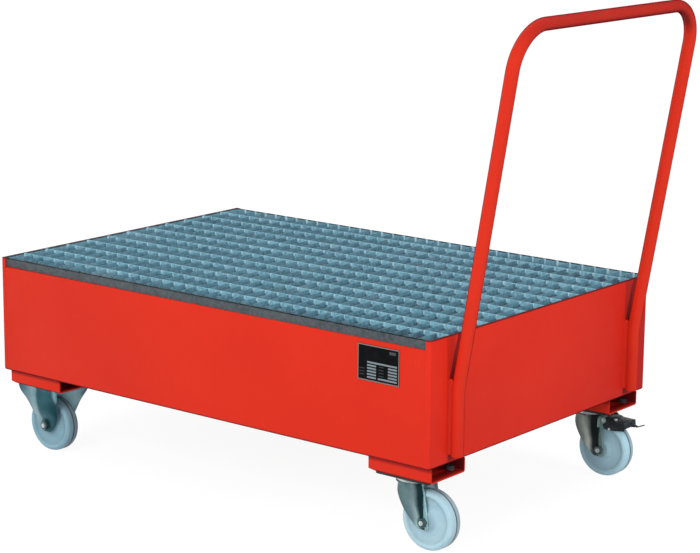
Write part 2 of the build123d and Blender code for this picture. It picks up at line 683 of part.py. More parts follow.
RIB_DXS, RIB_Z, RIB_SIZE = (80.0, 88.0), 131.6, (2.4, 30.0, 1.6)

PIN_L = 58.4
RIVET_DX, RIVET_Z = 60.0, 112.6
RIVET_HOLE_R = 2.05
RIVET_R, RIVET_L, RIVET_MID = 2.0, 3.6, 22.2            # shank
RIVET_HEAD_R, RIVET_HEAD_T, RIVET_HEAD_MID = 3.1, 1.5, 24.7

SCREW_X, SCREW_Y = BRAKE_X + 70.5, BRAKE_Y - 15.0       # bolt in the pedal top
SCREW_HOLE_R, SCREW_HOLE_H, SCREW_HOLE_Z = 2.45, 8.0, 131.0
SCREW_R, SCREW_Z0 = 2.4, 129.5
SCREW_HEAD_APOTHEM, SCREW_HEAD_H, SCREW_HEAD_Z0 = 4.0, 3.2, 132.3
SCREW_CHAMFER = 0.5

PEDAL_DROP = 8.0                        # degrees from free to locked
SHOE_W = 32.0
SHOE_TREAD_GAP = 0.25                   # shoe face to tread when locked
SHOE_BLANK = [(52.0, 112.0), (52.0, 140.0), (77.0, 140.0), (77.0, 108.0)]
SHOE_PIN_GAP = 0.8
SHOE_TRIM_W = 40.0
SHOE_TRIM = [                           # region cut away from the top of the shoe
    (40.0, 134.0), (46.0, 133.4), (61.4, 131.6), (65.6, 129.4),
    (110.0, 128.0), (110.0, 170.0), (40.0, 170.0),
]

TAB_RIGHT, TAB_W = 13.0, 8.0            # right side face from the wheel plane, width
TAB_OUTLINE = [
    (97.9, 127.5), (98.45, 122.4), (106.0, 121.0), (111.6, 119.0), (128.4, 125.8),
    (127.6, 127.6), (111.5, 121.1), (106.4, 122.9), (100.2, 124.2), (99.6, 127.5),
]


def make_brake_pedal():
    with BuildPart() as pedal:
        # side cheeks, each drawn on its right-hand face
        for face in (-CHEEK_IN, CHEEK_OUT):
            with BuildSketch(plane_at_y(BRAKE_Y + face)):
                with BuildLine():
                    Polyline(*shifted(CHEEK_OUTLINE, BRAKE_X), close=True)
                make_face()
            extrude(amount=CHEEK_OUT - CHEEK_IN)
        # top plate with a low step, folded down at the rear
        with BuildSketch(plane_at_y(BRAKE_Y + CHEEK_OUT)):
            with BuildLine():
                Polyline(*shifted(PEDAL_TOP_OUTLINE, BRAKE_X), close=True)
            make_face()
        extrude(amount=2 * CHEEK_OUT)
        # ribs across the tread
        for rib_dx in RIB_DXS:
            with Locations((BRAKE_X + rib_dx, BRAKE_Y, RIB_Z)):
                Box(*RIB_SIZE)
        # holes for the pin, the rivets and the top bolt
        with Locations(along_y(BRAKE_X + PIVOT_DX, BRAKE_Y, PIVOT_Z)):
            Cylinder(PIN_R + 0.05, THROUGH, mode=Mode.SUBTRACT)
        with Locations(along_y(BRAKE_X + RIVET_DX, BRAKE_Y, RIVET_Z)):
            Cylinder(RIVET_HOLE_R, THROUGH, mode=Mode.SUBTRACT)
        with Locations((SCREW_X, SCREW_Y, SCREW_HOLE_Z)):
            Cylinder(SCREW_HOLE_R, SCREW_HOLE_H, mode=Mode.SUBTRACT)
    save(pedal, "brake_pedal")


def make_brake_pin():
    with BuildPart() as pin:
        with BuildSketch(plane_at_y(BRAKE_Y + PIN_L / 2)):
            with Locations((BRAKE_X + PIVOT_DX, PIVOT_Z)):
                Circle(PIN_R)
        extrude(amount=PIN_L)
    save(pin, "brake_pin")


def make_brake_rivets():
    """One headed rivet through each cheek."""
    rivet_x = BRAKE_X + RIVET_DX
    with BuildPart() as rivets:
        for side in (-1, 1):
            with Locations(along_y(rivet_x, BRAKE_Y + side * RIVET_MID, RIVET_Z)):
                Cylinder(RIVET_R, RIVET_L)
            with Locations(along_y(rivet_x, BRAKE_Y + side * RIVET_HEAD_MID, RIVET_Z)):
                Cylinder(RIVET_HEAD_R, RIVET_HEAD_T)
    save(rivets, "brake_rivets")


def make_brake_shoe():
    """Drawn locked, where its face follows the tread, then turned up to the free position."""
    with BuildPart() as locked_shoe:
        with BuildSketch(plane_at_y(BRAKE_Y + SHOE_W / 2)):
            with BuildLine():
                Polyline(*shifted(SHOE_BLANK, BRAKE_X), close=True)
            make_face()
            with Locations((BRAKE_X + TRAIL, AXLE_Z)):
                Circle(WHEEL_R + SHOE_TREAD_GAP, mode=Mode.SUBTRACT)
        extrude(amount=SHOE_W)
    pivot = Axis((BRAKE_X + PIVOT_DX, BRAKE_Y, PIVOT_Z), (0, 1, 0))
    free_shoe = locked_shoe.part.rotate(pivot, -PEDAL_DROP)
    with BuildPart() as shoe:
        add(free_shoe)
        # keep it under the top plate of the pedal and clear of the pin
        with BuildSketch(plane_at_y(BRAKE_Y + SHOE_TRIM_W / 2)):
            with BuildLine():
                Polyline(*shifted(SHOE_TRIM, BRAKE_X), close=True)
            make_face()
        extrude(amount=SHOE_TRIM_W, mode=Mode.SUBTRACT)
        with Locations(along_y(BRAKE_X + PIVOT_DX, BRAKE_Y, PIVOT_Z)):
            Cylinder(PIN_R + SHOE_PIN_GAP, THROUGH, mode=Mode.SUBTRACT)
    save(shoe, "brake_shoe")


def make_brake_release_tab():
    """Thin strip on the rear face of the pedal, dipping and then rising rearward."""
    with BuildPart() as tab:
        with BuildSketch(plane_at_y(BRAKE_Y + TAB_RIGHT)):
            with BuildLine():
                Polyline(*shifted(TAB_OUTLINE, BRAKE_X), close=True)
            make_face()
        extrude(amount=TAB_W)
    save(tab, "brake_release_tab")


def make_brake_top_bolt():
    with BuildPart() as bolt:
        with BuildSketch(Plane.XY.offset(SCREW_HEAD_Z0)):
            with Locations((SCREW_X, SCREW_Y)):
                RegularPolygon(SCREW_HEAD_APOTHEM, 6, major_radius=False)
        extrude(amount=SCREW_HEAD_H)
        chamfer(bolt.faces().sort_by(Axis.Z)[-1].edges(), SCREW_CHAMFER)
        with BuildSketch(Plane.XY.offset(SCREW_Z0)):
            with Locations((SCREW_X, SCREW_Y)):
                Circle(SCREW_R)
        extrude(amount=SCREW_HEAD_Z0 - SCREW_Z0)
    save(bolt, "brake_top_bolt")


# ---------------------------------------------------------------------------
# Build every piece
# ---------------------------------------------------------------------------
make_sump_trough()
make_end_plate("front_end_plate", TUB_X0, 1.0)
make_end_plate("rear_end_plate", TUB_X1, -1.0)
make_handle_tube()
make_id_plate()
make_grating_frame()
make_grating_bearing_bars()
make_grating_cross_bars()
make_castor_bolts()
make_castor_washers()
make_kingpins()
make_kingpin_nuts()

for place, (x, y) in FRONT_CASTORS.items():
    make_rigid_fork(place, x, y)

for place, (x, y) in REAR_CASTORS.items():
    make_swivel_plate(place, x, y)
    make_swivel_fork(place, x, y)
    make_race_ring(place, x, y)
    make_race_balls(place, x, y)

for place, (x, y) in CASTORS.items():
    make_foot(place, x, y)
    wheel_x = x + (TRAIL if place in REAR_CASTORS else 0.0)
    make_wheel(place, wheel_x, y)
    make_axle_sleeve(place, wheel_x, y)
    make_axle_bolt(place, wheel_x, y)
    make_axle_nut(place, wheel_x, y)

make_brake_pedal()
make_brake_pin()
make_brake_rivets()
make_brake_shoe()
make_brake_release_tab()
make_brake_top_bolt()
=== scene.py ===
# A red sump tray on four castors, with a zinc grating, a tube handle and a rating plate.
# Length runs along X with the front at -X and the handle at +X; left is -Y, and the floor is z = 0.
# Two castors are rigid (front) and two swivel (rear). The CAD pieces keep their own meshes.
import math
import random

import bmesh
import bpy
from mathutils import Matrix, Vector


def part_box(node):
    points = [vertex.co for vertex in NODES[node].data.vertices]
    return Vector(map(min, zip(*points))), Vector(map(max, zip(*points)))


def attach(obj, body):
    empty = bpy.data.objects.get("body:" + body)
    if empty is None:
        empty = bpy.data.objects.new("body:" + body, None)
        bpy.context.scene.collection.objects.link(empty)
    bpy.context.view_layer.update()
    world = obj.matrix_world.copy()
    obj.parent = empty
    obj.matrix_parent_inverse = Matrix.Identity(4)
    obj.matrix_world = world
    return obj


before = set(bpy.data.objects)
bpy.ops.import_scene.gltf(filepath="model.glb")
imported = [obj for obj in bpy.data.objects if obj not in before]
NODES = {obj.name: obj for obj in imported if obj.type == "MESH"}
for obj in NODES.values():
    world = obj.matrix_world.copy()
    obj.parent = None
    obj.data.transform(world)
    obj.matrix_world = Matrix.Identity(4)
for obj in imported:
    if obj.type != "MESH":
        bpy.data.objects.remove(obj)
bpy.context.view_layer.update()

scene = bpy.context.scene
MM = 0.001

# ------------------------------------------------------------------ driving places, in metres
HALF_TRACK = 0.325                       # castor centre from the middle of the track
TRACK_SHIFT = 0.010                      # the track's middle lies this far towards -Y
LEFT_WHEEL_Y = -HALF_TRACK - TRACK_SHIFT
RIGHT_WHEEL_Y = HALF_TRACK - TRACK_SHIFT
FRONT_AXLE_X = -0.582
REAR_AXLE_X = 0.4865
SWIVEL_X = 0.4475                        # upright axis of the rear castors
AXLE_Z = 0.0625
HANDLE_LEG_Y = 0.325                     # centre line of a handle leg
WELD_TOP_Z = 0.3585                      # where the beads beside the handle legs stop
GRATING_SHIFT = 0.075                    # the grating's middle lies this far towards -X
CORNERS = ("front_left", "front_right", "rear_left", "rear_right")


# ------------------------------------------------------------------ node helpers
class Nodes:
    """Short ways to add and link nodes in one node tree."""

    def __init__(self, tree):
        self.tree = tree

    def new(self, kind, **settings):
        node = self.tree.nodes.new(kind)
        for key, value in settings.items():
            setattr(node, key, value)
        return node

    def put(self, socket, value):
        """Link another socket to this one, or store a plain value in it."""
        if isinstance(value, bpy.types.NodeSocket):
            self.tree.links.new(value, socket)
        elif socket.type == "RGBA":
            socket.default_value = (*value, 1)
        else:
            socket.default_value = value

    def math(self, operation, first, second=0.0, clamp=False):
        node = self.new("ShaderNodeMath", operation=operation, use_clamp=clamp)
        self.put(node.inputs[0], first)
        self.put(node.inputs[1], second)
        return node.outputs[0]

    def times(self, first, second, clamp=False):
        return self.math("MULTIPLY", first, second, clamp)

    def minus(self, first, second):
        return self.math("SUBTRACT", first, second)

    def size_of(self, value):
        return self.math("ABSOLUTE", value)

    def vector(self, operation, first, second=None):
        node = self.new("ShaderNodeVectorMath", operation=operation)
        self.put(node.inputs[0], first)
        if second is not None:
            self.put(node.inputs[1], second)
        return node.outputs

    def split(self, vector):
        """The X, Y and Z outputs of a vector."""
        node = self.new("ShaderNodeSeparateXYZ")
        self.put(node.inputs[0], vector)
        return node.outputs

    def ramp(self, factor, *stops):
        """Colour ramp; a stop is (position, grey or colour)."""
        node = self.new("ShaderNodeValToRGB")
        elements = node.color_ramp.elements
        while len(elements) < len(stops):
            elements.new(0.5)
        for element, (position, tone) in zip(elements, stops):
            element.position = position
            element.color = (*tone, 1) if isinstance(tone, tuple) else (tone, tone, tone, 1)
        self.put(node.inputs["Fac"], factor)
        return node.outputs["Color"]

    def zone(self, value, start, gain, stops):
        """Ramp over (value - start) * gain, held between 0 and 1."""
        return self.ramp(self.times(self.minus(value, start), gain, True), *stops)

    def mix(self, factor, first, second, blend="MIX"):
        node = self.new("ShaderNodeMix", data_type="RGBA", blend_type=blend)
        self.put(node.inputs[0], factor)
        self.put(node.inputs[6], first)
        self.put(node.inputs[7], second)
        return node.outputs[2]

    def tinted(self, base, tint):
        return self.mix(1.0, base, tint, "MULTIPLY")

    def cover(self, base, mask, colour, strength=None):
        """Lay a colour over the base where the mask is 1."""
        if strength is not None:
            mask = self.times(mask, strength)
        return self.mix(mask, base, colour)

    def mix_shaders(self, factor, first, second):
        node = self.new("ShaderNodeMixShader")
        self.put(node.inputs[0], factor)
        self.put(node.inputs[1], first)
        self.put(node.inputs[2], second)
        return node.outputs[0]


class Material(Nodes):
    """A procedural Principled material in object coordinates (metres)."""

    INPUTS = {"color": "Base Color", "rough": "Roughness", "metal": "Metallic",
              "normal": "Normal", "spec": "Specular IOR Level",
              "sss": "Subsurface Weight", "sss_scale": "Subsurface Scale"}

    def __init__(self, name):
        self.material = bpy.data.materials.new(name)
        self.material.use_nodes = True
        super().__init__(self.material.node_tree)
        self.principled = self.tree.nodes["Principled BSDF"]
        coords = self.new("ShaderNodeTexCoord")
        self.position = coords.outputs["Object"]
        self.normal = coords.outputs["Normal"]

    def finish(self, **values):
        for key, value in values.items():
            self.put(self.principled.inputs[self.INPUTS[key]], value)
        return self.material

    def noise(self, scale, detail=4, rough=0.6, distortion=0.0, stretch=None):
        """Noise; stretch scales the coordinates along X, Y and Z first."""
        vector = self.position
        if stretch:
            mapping = self.new("ShaderNodeMapping")
            self.put(mapping.inputs["Scale"], stretch)
            self.put(mapping.inputs["Vector"], vector)
            vector = mapping.outputs["Vector"]
        node = self.new("ShaderNodeTexNoise")
        self.put(node.inputs["Scale"], scale)
        self.put(node.inputs["Detail"], detail)
        self.put(node.inputs["Roughness"], rough)
        self.put(node.inputs["Distortion"], distortion)
        self.put(node.inputs["Vector"], vector)
        return node.outputs["Fac"]

    def patches(self, span, to=(0.0, 1.0), **noise):
        """Noise whose values across span are spread over to."""
        return self.ramp(self.noise(**noise), (span[0], to[0]), (span[1], to[1]))

    def voronoi(self, scale, feature="F1", out="Distance"):
        node = self.new("ShaderNodeTexVoronoi", feature=feature)
        self.put(node.inputs["Scale"], scale)
        self.put(node.inputs["Vector"], self.position)
        return node.outputs[out]

    def bump(self, height, strength, depth, over=None):
        node = self.new("ShaderNodeBump")
        self.put(node.inputs["Strength"], strength)
        self.put(node.inputs["Distance"], depth)
        self.put(node.inputs["Height"], height)
        if over is not None:
            self.put(node.inputs["Normal"], over)
        return node.outputs["Normal"]

    def grain(self, strength, depth, over=None, **noise):
        """Bump from noise, laid over an earlier bump."""
        return self.bump(self.noise(**noise), strength, depth, over)

    def edge(self, radius):
        """1 on sharp edges, 0 on flats: the bevelled normal against the plain one."""
        bevel = self.new("ShaderNodeBevel", samples=4)
        self.put(bevel.inputs["Radius"], radius)
        plain = self.new("ShaderNodeNewGeometry").outputs["Normal"]
        dot = self.vector("DOT_PRODUCT", bevel.outputs["Normal"], plain)
        return self.math("SUBTRACT", 1.0, dot["Value"], clamp=True)

    def rubbed_edges(self, base, radius, full, colour):
        """Half-strength edge colour, growing until the edge mask reaches full."""
        mask = self.ramp(self.edge(radius), (0.03, 0.0), (full, 1.0))
        return self.cover(base, mask, colour, strength=0.5)

    def glancing(self, start, end):
        """0 on surfaces that face the viewer, 1 where they turn away."""
        weight = self.new("ShaderNodeLayerWeight")
        self.put(weight.inputs["Blend"], 0.5)
        return self.ramp(weight.outputs["Facing"], (start, 0.0), (end, 1.0))

    def facing_up(self):
        return self.split(self.new("ShaderNodeNewGeometry").outputs["Normal"])["Z"]


# ------------------------------------------------------------------ red powder coat
def handle_turn_mask(mat):
    """Less glancing shade on the lower end of the handle."""
    height = mat.split(mat.position)["Z"]
    return mat.zone(height, start=0.345, gain=20.0, stops=((0.0, 0.45), (0.5, 1.0)))


def handle_surroundings(mat, base):
    """Shade on the rear end plate round the handle legs."""
    _, y, z = mat.split(mat.position)
    # painted shadow under the cut ends of the tube
    off_leg = mat.size_of(mat.minus(mat.size_of(y), HANDLE_LEG_Y))
    side = mat.times(off_leg, 50.0, True)
    below = mat.times(mat.minus(0.2025, z), 50.0, True)
    patch = mat.times(mat.ramp(side, (0.52, 1.0), (0.72, 0.0)),
                      mat.ramp(below, (0.0, 0.0), (0.06, 1.0), (0.80, 0.55)))
    base = mat.cover(base, patch, colour=(0.16, 0.006, 0.014), strength=0.8)
    # painted shadow in the wedge where the legs lean away from the plate
    away = mat.minus(y, mat.times(mat.math("SIGN", y), HANDLE_LEG_Y))
    lean = mat.times(mat.minus(z, WELD_TOP_Z), 0.30)
    across = mat.times(mat.math("ADD", mat.minus(away, lean), 0.0150), 20.0, True)
    gap = mat.times(mat.minus(z, 0.352), 10.0, True)
    wedge = mat.times(mat.ramp(across, (0.06, 0.0), (0.11, 1.0), (0.36, 1.0), (0.56, 0.0)),
                      mat.ramp(gap, (0.0, 0.0), (0.10, 1.0)))
    base = mat.cover(base, wedge, colour=(0.16, 0.006, 0.010), strength=0.80)
    # painted shadow on the strip outside the +Y leg
    strip = mat.zone(y, start=0.335, gain=20.0, stops=((0.10, 0.0), (0.30, 1.0)))
    base = mat.cover(base, strip, colour=(0.24, 0.006, 0.020), strength=0.34)
    # painted shade: a slow darkening towards +Y, and a darker corner at that side
    far = mat.zone(y, start=0.02, gain=4.0, stops=((0.0, 0.0), (0.9, 0.13)))
    base = mat.cover(base, far, colour=(0.24, 0.004, 0.020))
    corner = mat.zone(y, start=0.390, gain=100.0, stops=((0.72, 0.0), (0.86, 1.0)))
    return mat.cover(base, corner, colour=(0.16, 0.006, 0.012), strength=0.55)


def rim_dark_lines(mat, base):
    """Painted shade along the top edge and the bottom fold, and a dark line on the front end's side
    faces.
    """
    x, _, z = mat.split(mat.position)
    # painted shade: a dark line along the top edge, broken up in patches, and one along the bottom
    # fold
    crest = mat.zone(z, start=0.4405, gain=100.0, stops=((0.22, 0.0), (0.34, 1.0)))
    _, normal_y, normal_z = mat.split(mat.normal)
    upright = mat.ramp(mat.size_of(normal_z), (0.86, 1.0), (0.97, 0.0))
    fold = mat.zone(z, start=0.185, gain=100.0, stops=((0.30, 0.85), (0.50, 0.0)))
    fold = mat.times(fold, upright)
    from_front = mat.times(mat.math("ADD", x, 0.675), 100.0, True)
    nose = mat.times(mat.ramp(mat.size_of(normal_y), (0.50, 0.0), (0.80, 1.0)),
                     mat.ramp(from_front, (0.14, 0.75), (0.32, 0.0)))
    base = mat.cover(base, nose, colour=(0.14, 0.010, 0.012))
    crest = mat.times(crest, mat.patches(scale=40, detail=3, span=(0.3, 0.7), to=(0.72, 0.92)))
    base = mat.cover(base, crest, colour=(0.13, 0.006, 0.012))
    return mat.cover(base, fold, colour=(0.22, 0.008, 0.012))


def grip_shade(mat, base):
    """Painted shade in patches high on the handle, along the grip."""
    height = mat.split(mat.position)["Z"]
    high = mat.zone(height, start=0.98, gain=10.0, stops=((0.10, 0.0), (0.70, 1.0)))
    grip_shaded = mat.times(high, mat.patches(scale=16, span=(0.3, 0.7), to=(0.30, 0.46)))
    return mat.cover(base, grip_shaded, colour=(0.28, 0.012, 0.012))


def foot_shade(mat, base):
    """Painted shade inside the foot channels, and a painted shadow strip under the tray."""
    _, y, z = mat.split(mat.position)
    off_track = mat.size_of(mat.math("ADD", y, TRACK_SHIFT))
    depth = mat.minus(0.0565, mat.size_of(mat.minus(off_track, HALF_TRACK)))
    # painted shade in the hollow of each channel, weaker on its upward-facing floor
    hollow = mat.times(
        mat.ramp(mat.times(depth, 100.0, True), (0.14, 0.0), (0.26, 1.0)),
        mat.zone(z, start=0.1575, gain=100.0, stops=((0.0, 0.0), (0.12, 1.0))))
    sill = mat.ramp(mat.facing_up(), (0.4, 1.0), (0.9, 0.25))
    base = mat.cover(base, mat.times(hollow, sill), colour=(0.055, 0.004, 0.008), strength=0.85)
    # painted shadow along the top of each foot, under the tray's overhang
    strip = mat.zone(z, start=0.170, gain=60.0, stops=((0.35, 0.0), (0.60, 1.0)))
    return mat.cover(base, strip, colour=(0.22, 0.008, 0.010), strength=0.62)


def red_paint(name, red=0.975, green=1.10, edge_wear=1.0, turned_shade=0.80,
              turn_mask=None, layers=(), top_layers=()):
    """Red coat; red and green scale its channels, top_layers lie over the underside shade."""
    mat = Material(name)
    base = mat.mix(mat.patches(scale=2.2, detail=3, span=(0.35, 0.68)),
                   (0.80 * red, 0.030 * green, 0.0130), (0.745 * red, 0.026 * green, 0.0125))
    mottle = mat.patches(scale=38, rough=0.65, span=(0.55, 0.78), to=(0.0, 0.14))
    base = mat.cover(base, mottle, colour=(0.86, 0.050, 0.022))
    # fine rubs and dust, only here and there
    rub = mat.times(mat.patches(scale=7, detail=5, rough=0.7, span=(0.60, 0.74)),
                    mat.patches(scale=260, detail=2, rough=0.5, stretch=(1, 1, 0.12),
                                span=(0.55, 0.7), to=(0.0, 0.22)))
    base = mat.cover(base, rub, colour=(0.84, 0.085, 0.050))
    # darker coat on the folded edges and a few chips
    edges = mat.times(mat.edge(radius=0.0025), edge_wear)
    chips = mat.times(mat.ramp(edges, (0.10, 0.0), (0.28, 1.0)),
                      mat.patches(scale=90, rough=0.7, span=(0.62, 0.67)))
    base = mat.cover(base, mat.ramp(edges, (0.02, 0.0), (0.3, 1.0)),
                     colour=(0.42, 0.012, 0.008), strength=0.40)
    base = mat.cover(base, chips, colour=(0.10, 0.04, 0.035), strength=0.5)
    # painted shade where the coat turns away from the view
    turned = mat.times(mat.glancing(0.48, 0.80), turned_shade)
    if turn_mask:
        turned = mat.times(turned, turn_mask(mat))
    base = mat.cover(base, turned, colour=(0.20, 0.006, 0.008))
    for layer in layers:
        base = layer(mat, base)
    # and painted shade on anything that looks down
    down = mat.times(mat.facing_up(), -1.0, True)
    base = mat.cover(base, mat.ramp(down, (0.30, 0.0), (0.75, 1.0)),
                     colour=(0.14, 0.006, 0.008), strength=0.8)
    for layer in top_layers:
        base = layer(mat, base)
    peel = mat.grain(scale=330, detail=2, rough=0.5, strength=0.13, depth=0.0006)
    return mat.finish(
        color=base,
        rough=mat.patches(scale=14, span=(0.3, 0.7), to=(0.40, 0.50)),
        normal=mat.grain(scale=6.5, detail=2, rough=0.5, strength=0.08, depth=0.004, over=peel),
        spec=mat.ramp(mat.glancing(0.42, 0.72), (0.0, 0.10), (1.0, 0.0)))


# ------------------------------------------------------------------ zinc
def bar_end_shadow(mat, base):
    """Painted shadow where the bars run into the edge frame at -Y."""
    towards_left = mat.times(mat.split(mat.position)["Y"], -1.0)
    near = mat.zone(towards_left, start=0.370, gain=20.0, stops=((0.24, 0.0), (0.40, 0.90)))
    return mat.cover(base, near, colour=(0.02, 0.035, 0.045))


def frame_zinc_and_shadow(mat, base):
    """Bright zinc on the frame's inner faces, and a painted black shadow along its top."""
    x, y, _ = mat.split(mat.position)
    inner_y = mat.math("LESS_THAN", mat.size_of(y), 0.3945)
    inner_x = mat.math("LESS_THAN", mat.size_of(mat.math("ADD", x, GRATING_SHIFT)), 0.5945)
    bright = mat.mix(mat.patches(scale=60, span=(0.3, 0.7)),
                     (0.16, 0.40, 0.50), (0.30, 0.62, 0.74))
    base = mat.cover(base, mat.times(inner_x, inner_y), colour=bright, strength=0.9)
    height = mat.split(mat.position)["Z"]
    # painted shadow along the frame's top, broken up in patches
    top_shadow = mat.times(
        mat.zone(height, start=0.4410, gain=100.0, stops=((0.10, 0.0), (0.22, 1.0))),
        mat.patches(scale=70, detail=3, span=(0.25, 0.6), to=(0.55, 1.0)))
    return mat.cover(base, top_shadow, colour=(0.012, 0.018, 0.020))


def galvanised(name, light, dark, metal, rough=(0.38, 0.58), top=None,
               edge=(0.55, 0.72, 0.80), bloom=(0.50, 0.72, 0.80), spec=0.5, layer=None):
    """Hot-dip zinc; top darkens the upward faces as painted shade, rough is the range over the
    spangles.
    """
    spangle = 180
    mat = Material(name)
    cells = mat.new("ShaderNodeSeparateColor")
    mat.put(cells.inputs[0], mat.voronoi(spangle, out="Color"))
    base = mat.mix(mat.ramp(cells.outputs[0], (0.1, 0.0), (0.9, 1.0)), dark, light)
    pale = mat.patches(scale=24, detail=5, rough=0.7, span=(0.42, 0.75), to=(0.0, 0.55))
    base = mat.cover(base, pale, colour=tuple(min(1, channel * 1.3) for channel in light))
    # white bloom and dull grey runs
    runs = mat.patches(scale=9, detail=6, rough=0.72, stretch=(1, 1, 0.4),
                       span=(0.56, 0.74), to=(0.0, 0.40))
    base = mat.cover(base, runs, colour=bloom)
    base = mat.rubbed_edges(base, radius=0.0012, full=0.30, colour=edge)
    if layer:
        base = layer(mat, base)
    if top:
        # painted shade on the upward faces
        upward = mat.ramp(mat.facing_up(), (0.70, 0.0), (0.95, 1.0))
        base = mat.mix(upward, base, mat.tinted(base, (top, top * 0.98, top * 0.96)))
    normal = mat.grain(scale=420, detail=3, strength=0.22, depth=0.0004)
    normal = mat.bump(mat.voronoi(spangle, "SMOOTH_F1"), strength=0.12, depth=0.0008, over=normal)
    normal = mat.grain(scale=60, detail=3, strength=0.25, depth=0.0009, over=normal)
    return mat.finish(color=base, rough=mat.ramp(cells.outputs[1], (0.0, rough[0]), (1.0, rough[1])),
                      metal=metal, normal=normal, spec=spec)


def leg_reflection_bands(mat, base, start_x, mid_y, lean, length, stops):
    """Painted reflections: light and dark bands down a fork leg, on the half that lies towards -Y of
    mid_y.

    The bands run along X from start_x over length, and lean with height."""
    x, y, z = mat.split(mat.position)
    along = mat.minus(x, mat.times(mat.minus(0.14, z), lean))
    wobble = mat.times(mat.minus(mat.noise(scale=22, detail=3), 0.5), 0.012)
    along = mat.math("ADD", mat.minus(along, start_x), wobble)
    along = mat.times(along, 1.0 / length, True)
    outer = mat.math("GREATER_THAN", mat.minus(mid_y, y), 0.0)
    return mat.mix(outer, base, mat.tinted(base, mat.ramp(along, *stops)))


def zinc_plate(name, light, dark, streak, edge=(0.75, 0.84, 0.87), rough=(0.26, 0.40),
               metal=0.9, bands=None):
    """Bright zinc plating with upright streaks; bands holds the arguments of leg_reflection_bands."""
    mat = Material(name)
    base = mat.mix(mat.patches(scale=30, rough=0.65, span=(0.35, 0.7)), dark, light)
    # passivation blush, faint green and blue
    blush = tuple(channel * part for channel, part in zip(light, (0.80, 1.05, 0.86)))
    base = mat.cover(base, mat.patches(scale=12, detail=3, distortion=0.6,
                                       span=(0.50, 0.72), to=(0.0, 0.35)), colour=blush)
    base = mat.cover(base, mat.patches(scale=240, detail=3, stretch=(1, 1, 0.06),
                                       span=(0.45, 0.75), to=(0.0, 0.28)), colour=streak)
    if bands:
        base = leg_reflection_bands(mat, base, **bands)
    base = mat.rubbed_edges(base, radius=0.0010, full=0.25, colour=edge)
    fine = mat.grain(scale=520, detail=3, strength=0.10, depth=0.0003)
    return mat.finish(
        color=base, rough=mat.patches(scale=55, span=(0.3, 0.7), to=rough), metal=metal,
        normal=mat.grain(scale=90, detail=2, rough=0.5, strength=0.12, depth=0.0008, over=fine))


# ------------------------------------------------------------------ wheels, brake and label
def polyamide(name, mid_y, axle_x, dull, fair):
    """White cast nylon of a wheel whose middle plane is y = mid_y and axle is at axle_x."""
    mat = Material(name)
    base = mat.mix(mat.patches(scale=18, span=(0.3, 0.7)), dull, fair)
    # milky flow marks of the moulding
    flow = mat.patches(scale=26, detail=5, rough=0.7, distortion=1.4,
                       span=(0.48, 0.66), to=(0.0, 0.30))
    base = mat.cover(base, flow, colour=tuple(min(1.0, channel * 1.10) for channel in fair))
    x, y, z = mat.split(mat.position)
    off_middle = mat.minus(y, mid_y)
    # painted shade and highlight over the wheel's side, by radius: (radius in decimetres, tone)
    side_shade_tones = ((0.15, 0.74), (0.24, 0.98), (0.36, 0.95), (0.445, 0.88), (0.475, 0.80),
                 (0.515, 1.03), (0.58, 1.0))
    across = mat.minus(x, axle_x)
    upward = mat.minus(z, AXLE_Z)
    squares = mat.math("ADD", mat.times(across, across), mat.times(upward, upward))
    radius = mat.math("SQRT", squares)
    base = mat.tinted(base, mat.ramp(mat.times(radius, 10.0, True), *side_shade_tones))
    # grey rolled-in dirt on the running surface, with painted shade making it heavier past the
    # middle towards +Y
    normal_y = mat.split(mat.normal)["Y"]
    tread = mat.ramp(mat.size_of(normal_y), (0.42, 1.0), (0.62, 0.0))
    side = mat.ramp(mat.times(mat.math("ADD", off_middle, 0.02), 25.0, True),
                    (0.48, 0.05), (0.53, 0.60), (0.80, 0.50))
    speckle = mat.patches(scale=90, detail=5, rough=0.75, span=(0.35, 0.70), to=(0.75, 1.15))
    dirt_and_shade = mat.times(mat.times(tread, side), speckle, True)
    base = mat.cover(base, dirt_and_shade, colour=(0.27, 0.30, 0.31))
    # painted shade in the groove round the middle
    groove = mat.ramp(mat.times(mat.size_of(off_middle), 100.0, True), (0.10, 1.0), (0.26, 0.0))
    base = mat.cover(base, groove, colour=(0.075, 0.068, 0.068), strength=0.85)
    scuff = mat.patches(scale=120, detail=5, rough=0.75, span=(0.54, 0.72), to=(0.0, 0.22))
    base = mat.cover(base, scuff, colour=tuple(channel * 0.6 for channel in dull))
    fine = mat.grain(scale=650, detail=3, strength=0.10, depth=0.0003)
    return mat.finish(
        color=base, rough=mat.patches(scale=75, span=(0.3, 0.7), to=(0.34, 0.50)),
        normal=mat.grain(scale=45, detail=3, strength=0.08, depth=0.001, over=fine),
        sss=0.10, sss_scale=0.003, spec=0.35)


def black_steel():
    mat = Material("black_coated_steel")
    base = mat.mix(mat.patches(scale=40, span=(0.35, 0.7)),
                   (0.014, 0.020, 0.024), (0.030, 0.036, 0.040))
    base = mat.cover(base, mat.patches(scale=16, detail=3, span=(0.54, 0.72), to=(0.0, 0.5)),
                     colour=(0.045, 0.024, 0.032))
    wear = mat.times(mat.ramp(mat.edge(radius=0.0009), (0.04, 0.0), (0.3, 1.0)),
                     mat.patches(scale=150, rough=0.7, span=(0.40, 0.62), to=(0.1, 0.8)))
    base = mat.cover(base, wear, colour=(0.22, 0.26, 0.27))
    return mat.finish(color=base, rough=mat.patches(scale=90, span=(0.3, 0.7), to=(0.30, 0.48)),
                      normal=mat.grain(scale=480, detail=3, strength=0.18, depth=0.0004),
                      spec=0.28)


def rubber():
    mat = Material("brake_rubber_black")
    base = mat.mix(mat.noise(scale=120, rough=0.7), (0.012, 0.012, 0.013), (0.035, 0.034, 0.033))
    normal = mat.grain(scale=700, detail=3, rough=0.7, strength=0.35, depth=0.0005)
    return mat.finish(color=base, rough=0.78, normal=normal, spec=0.3)


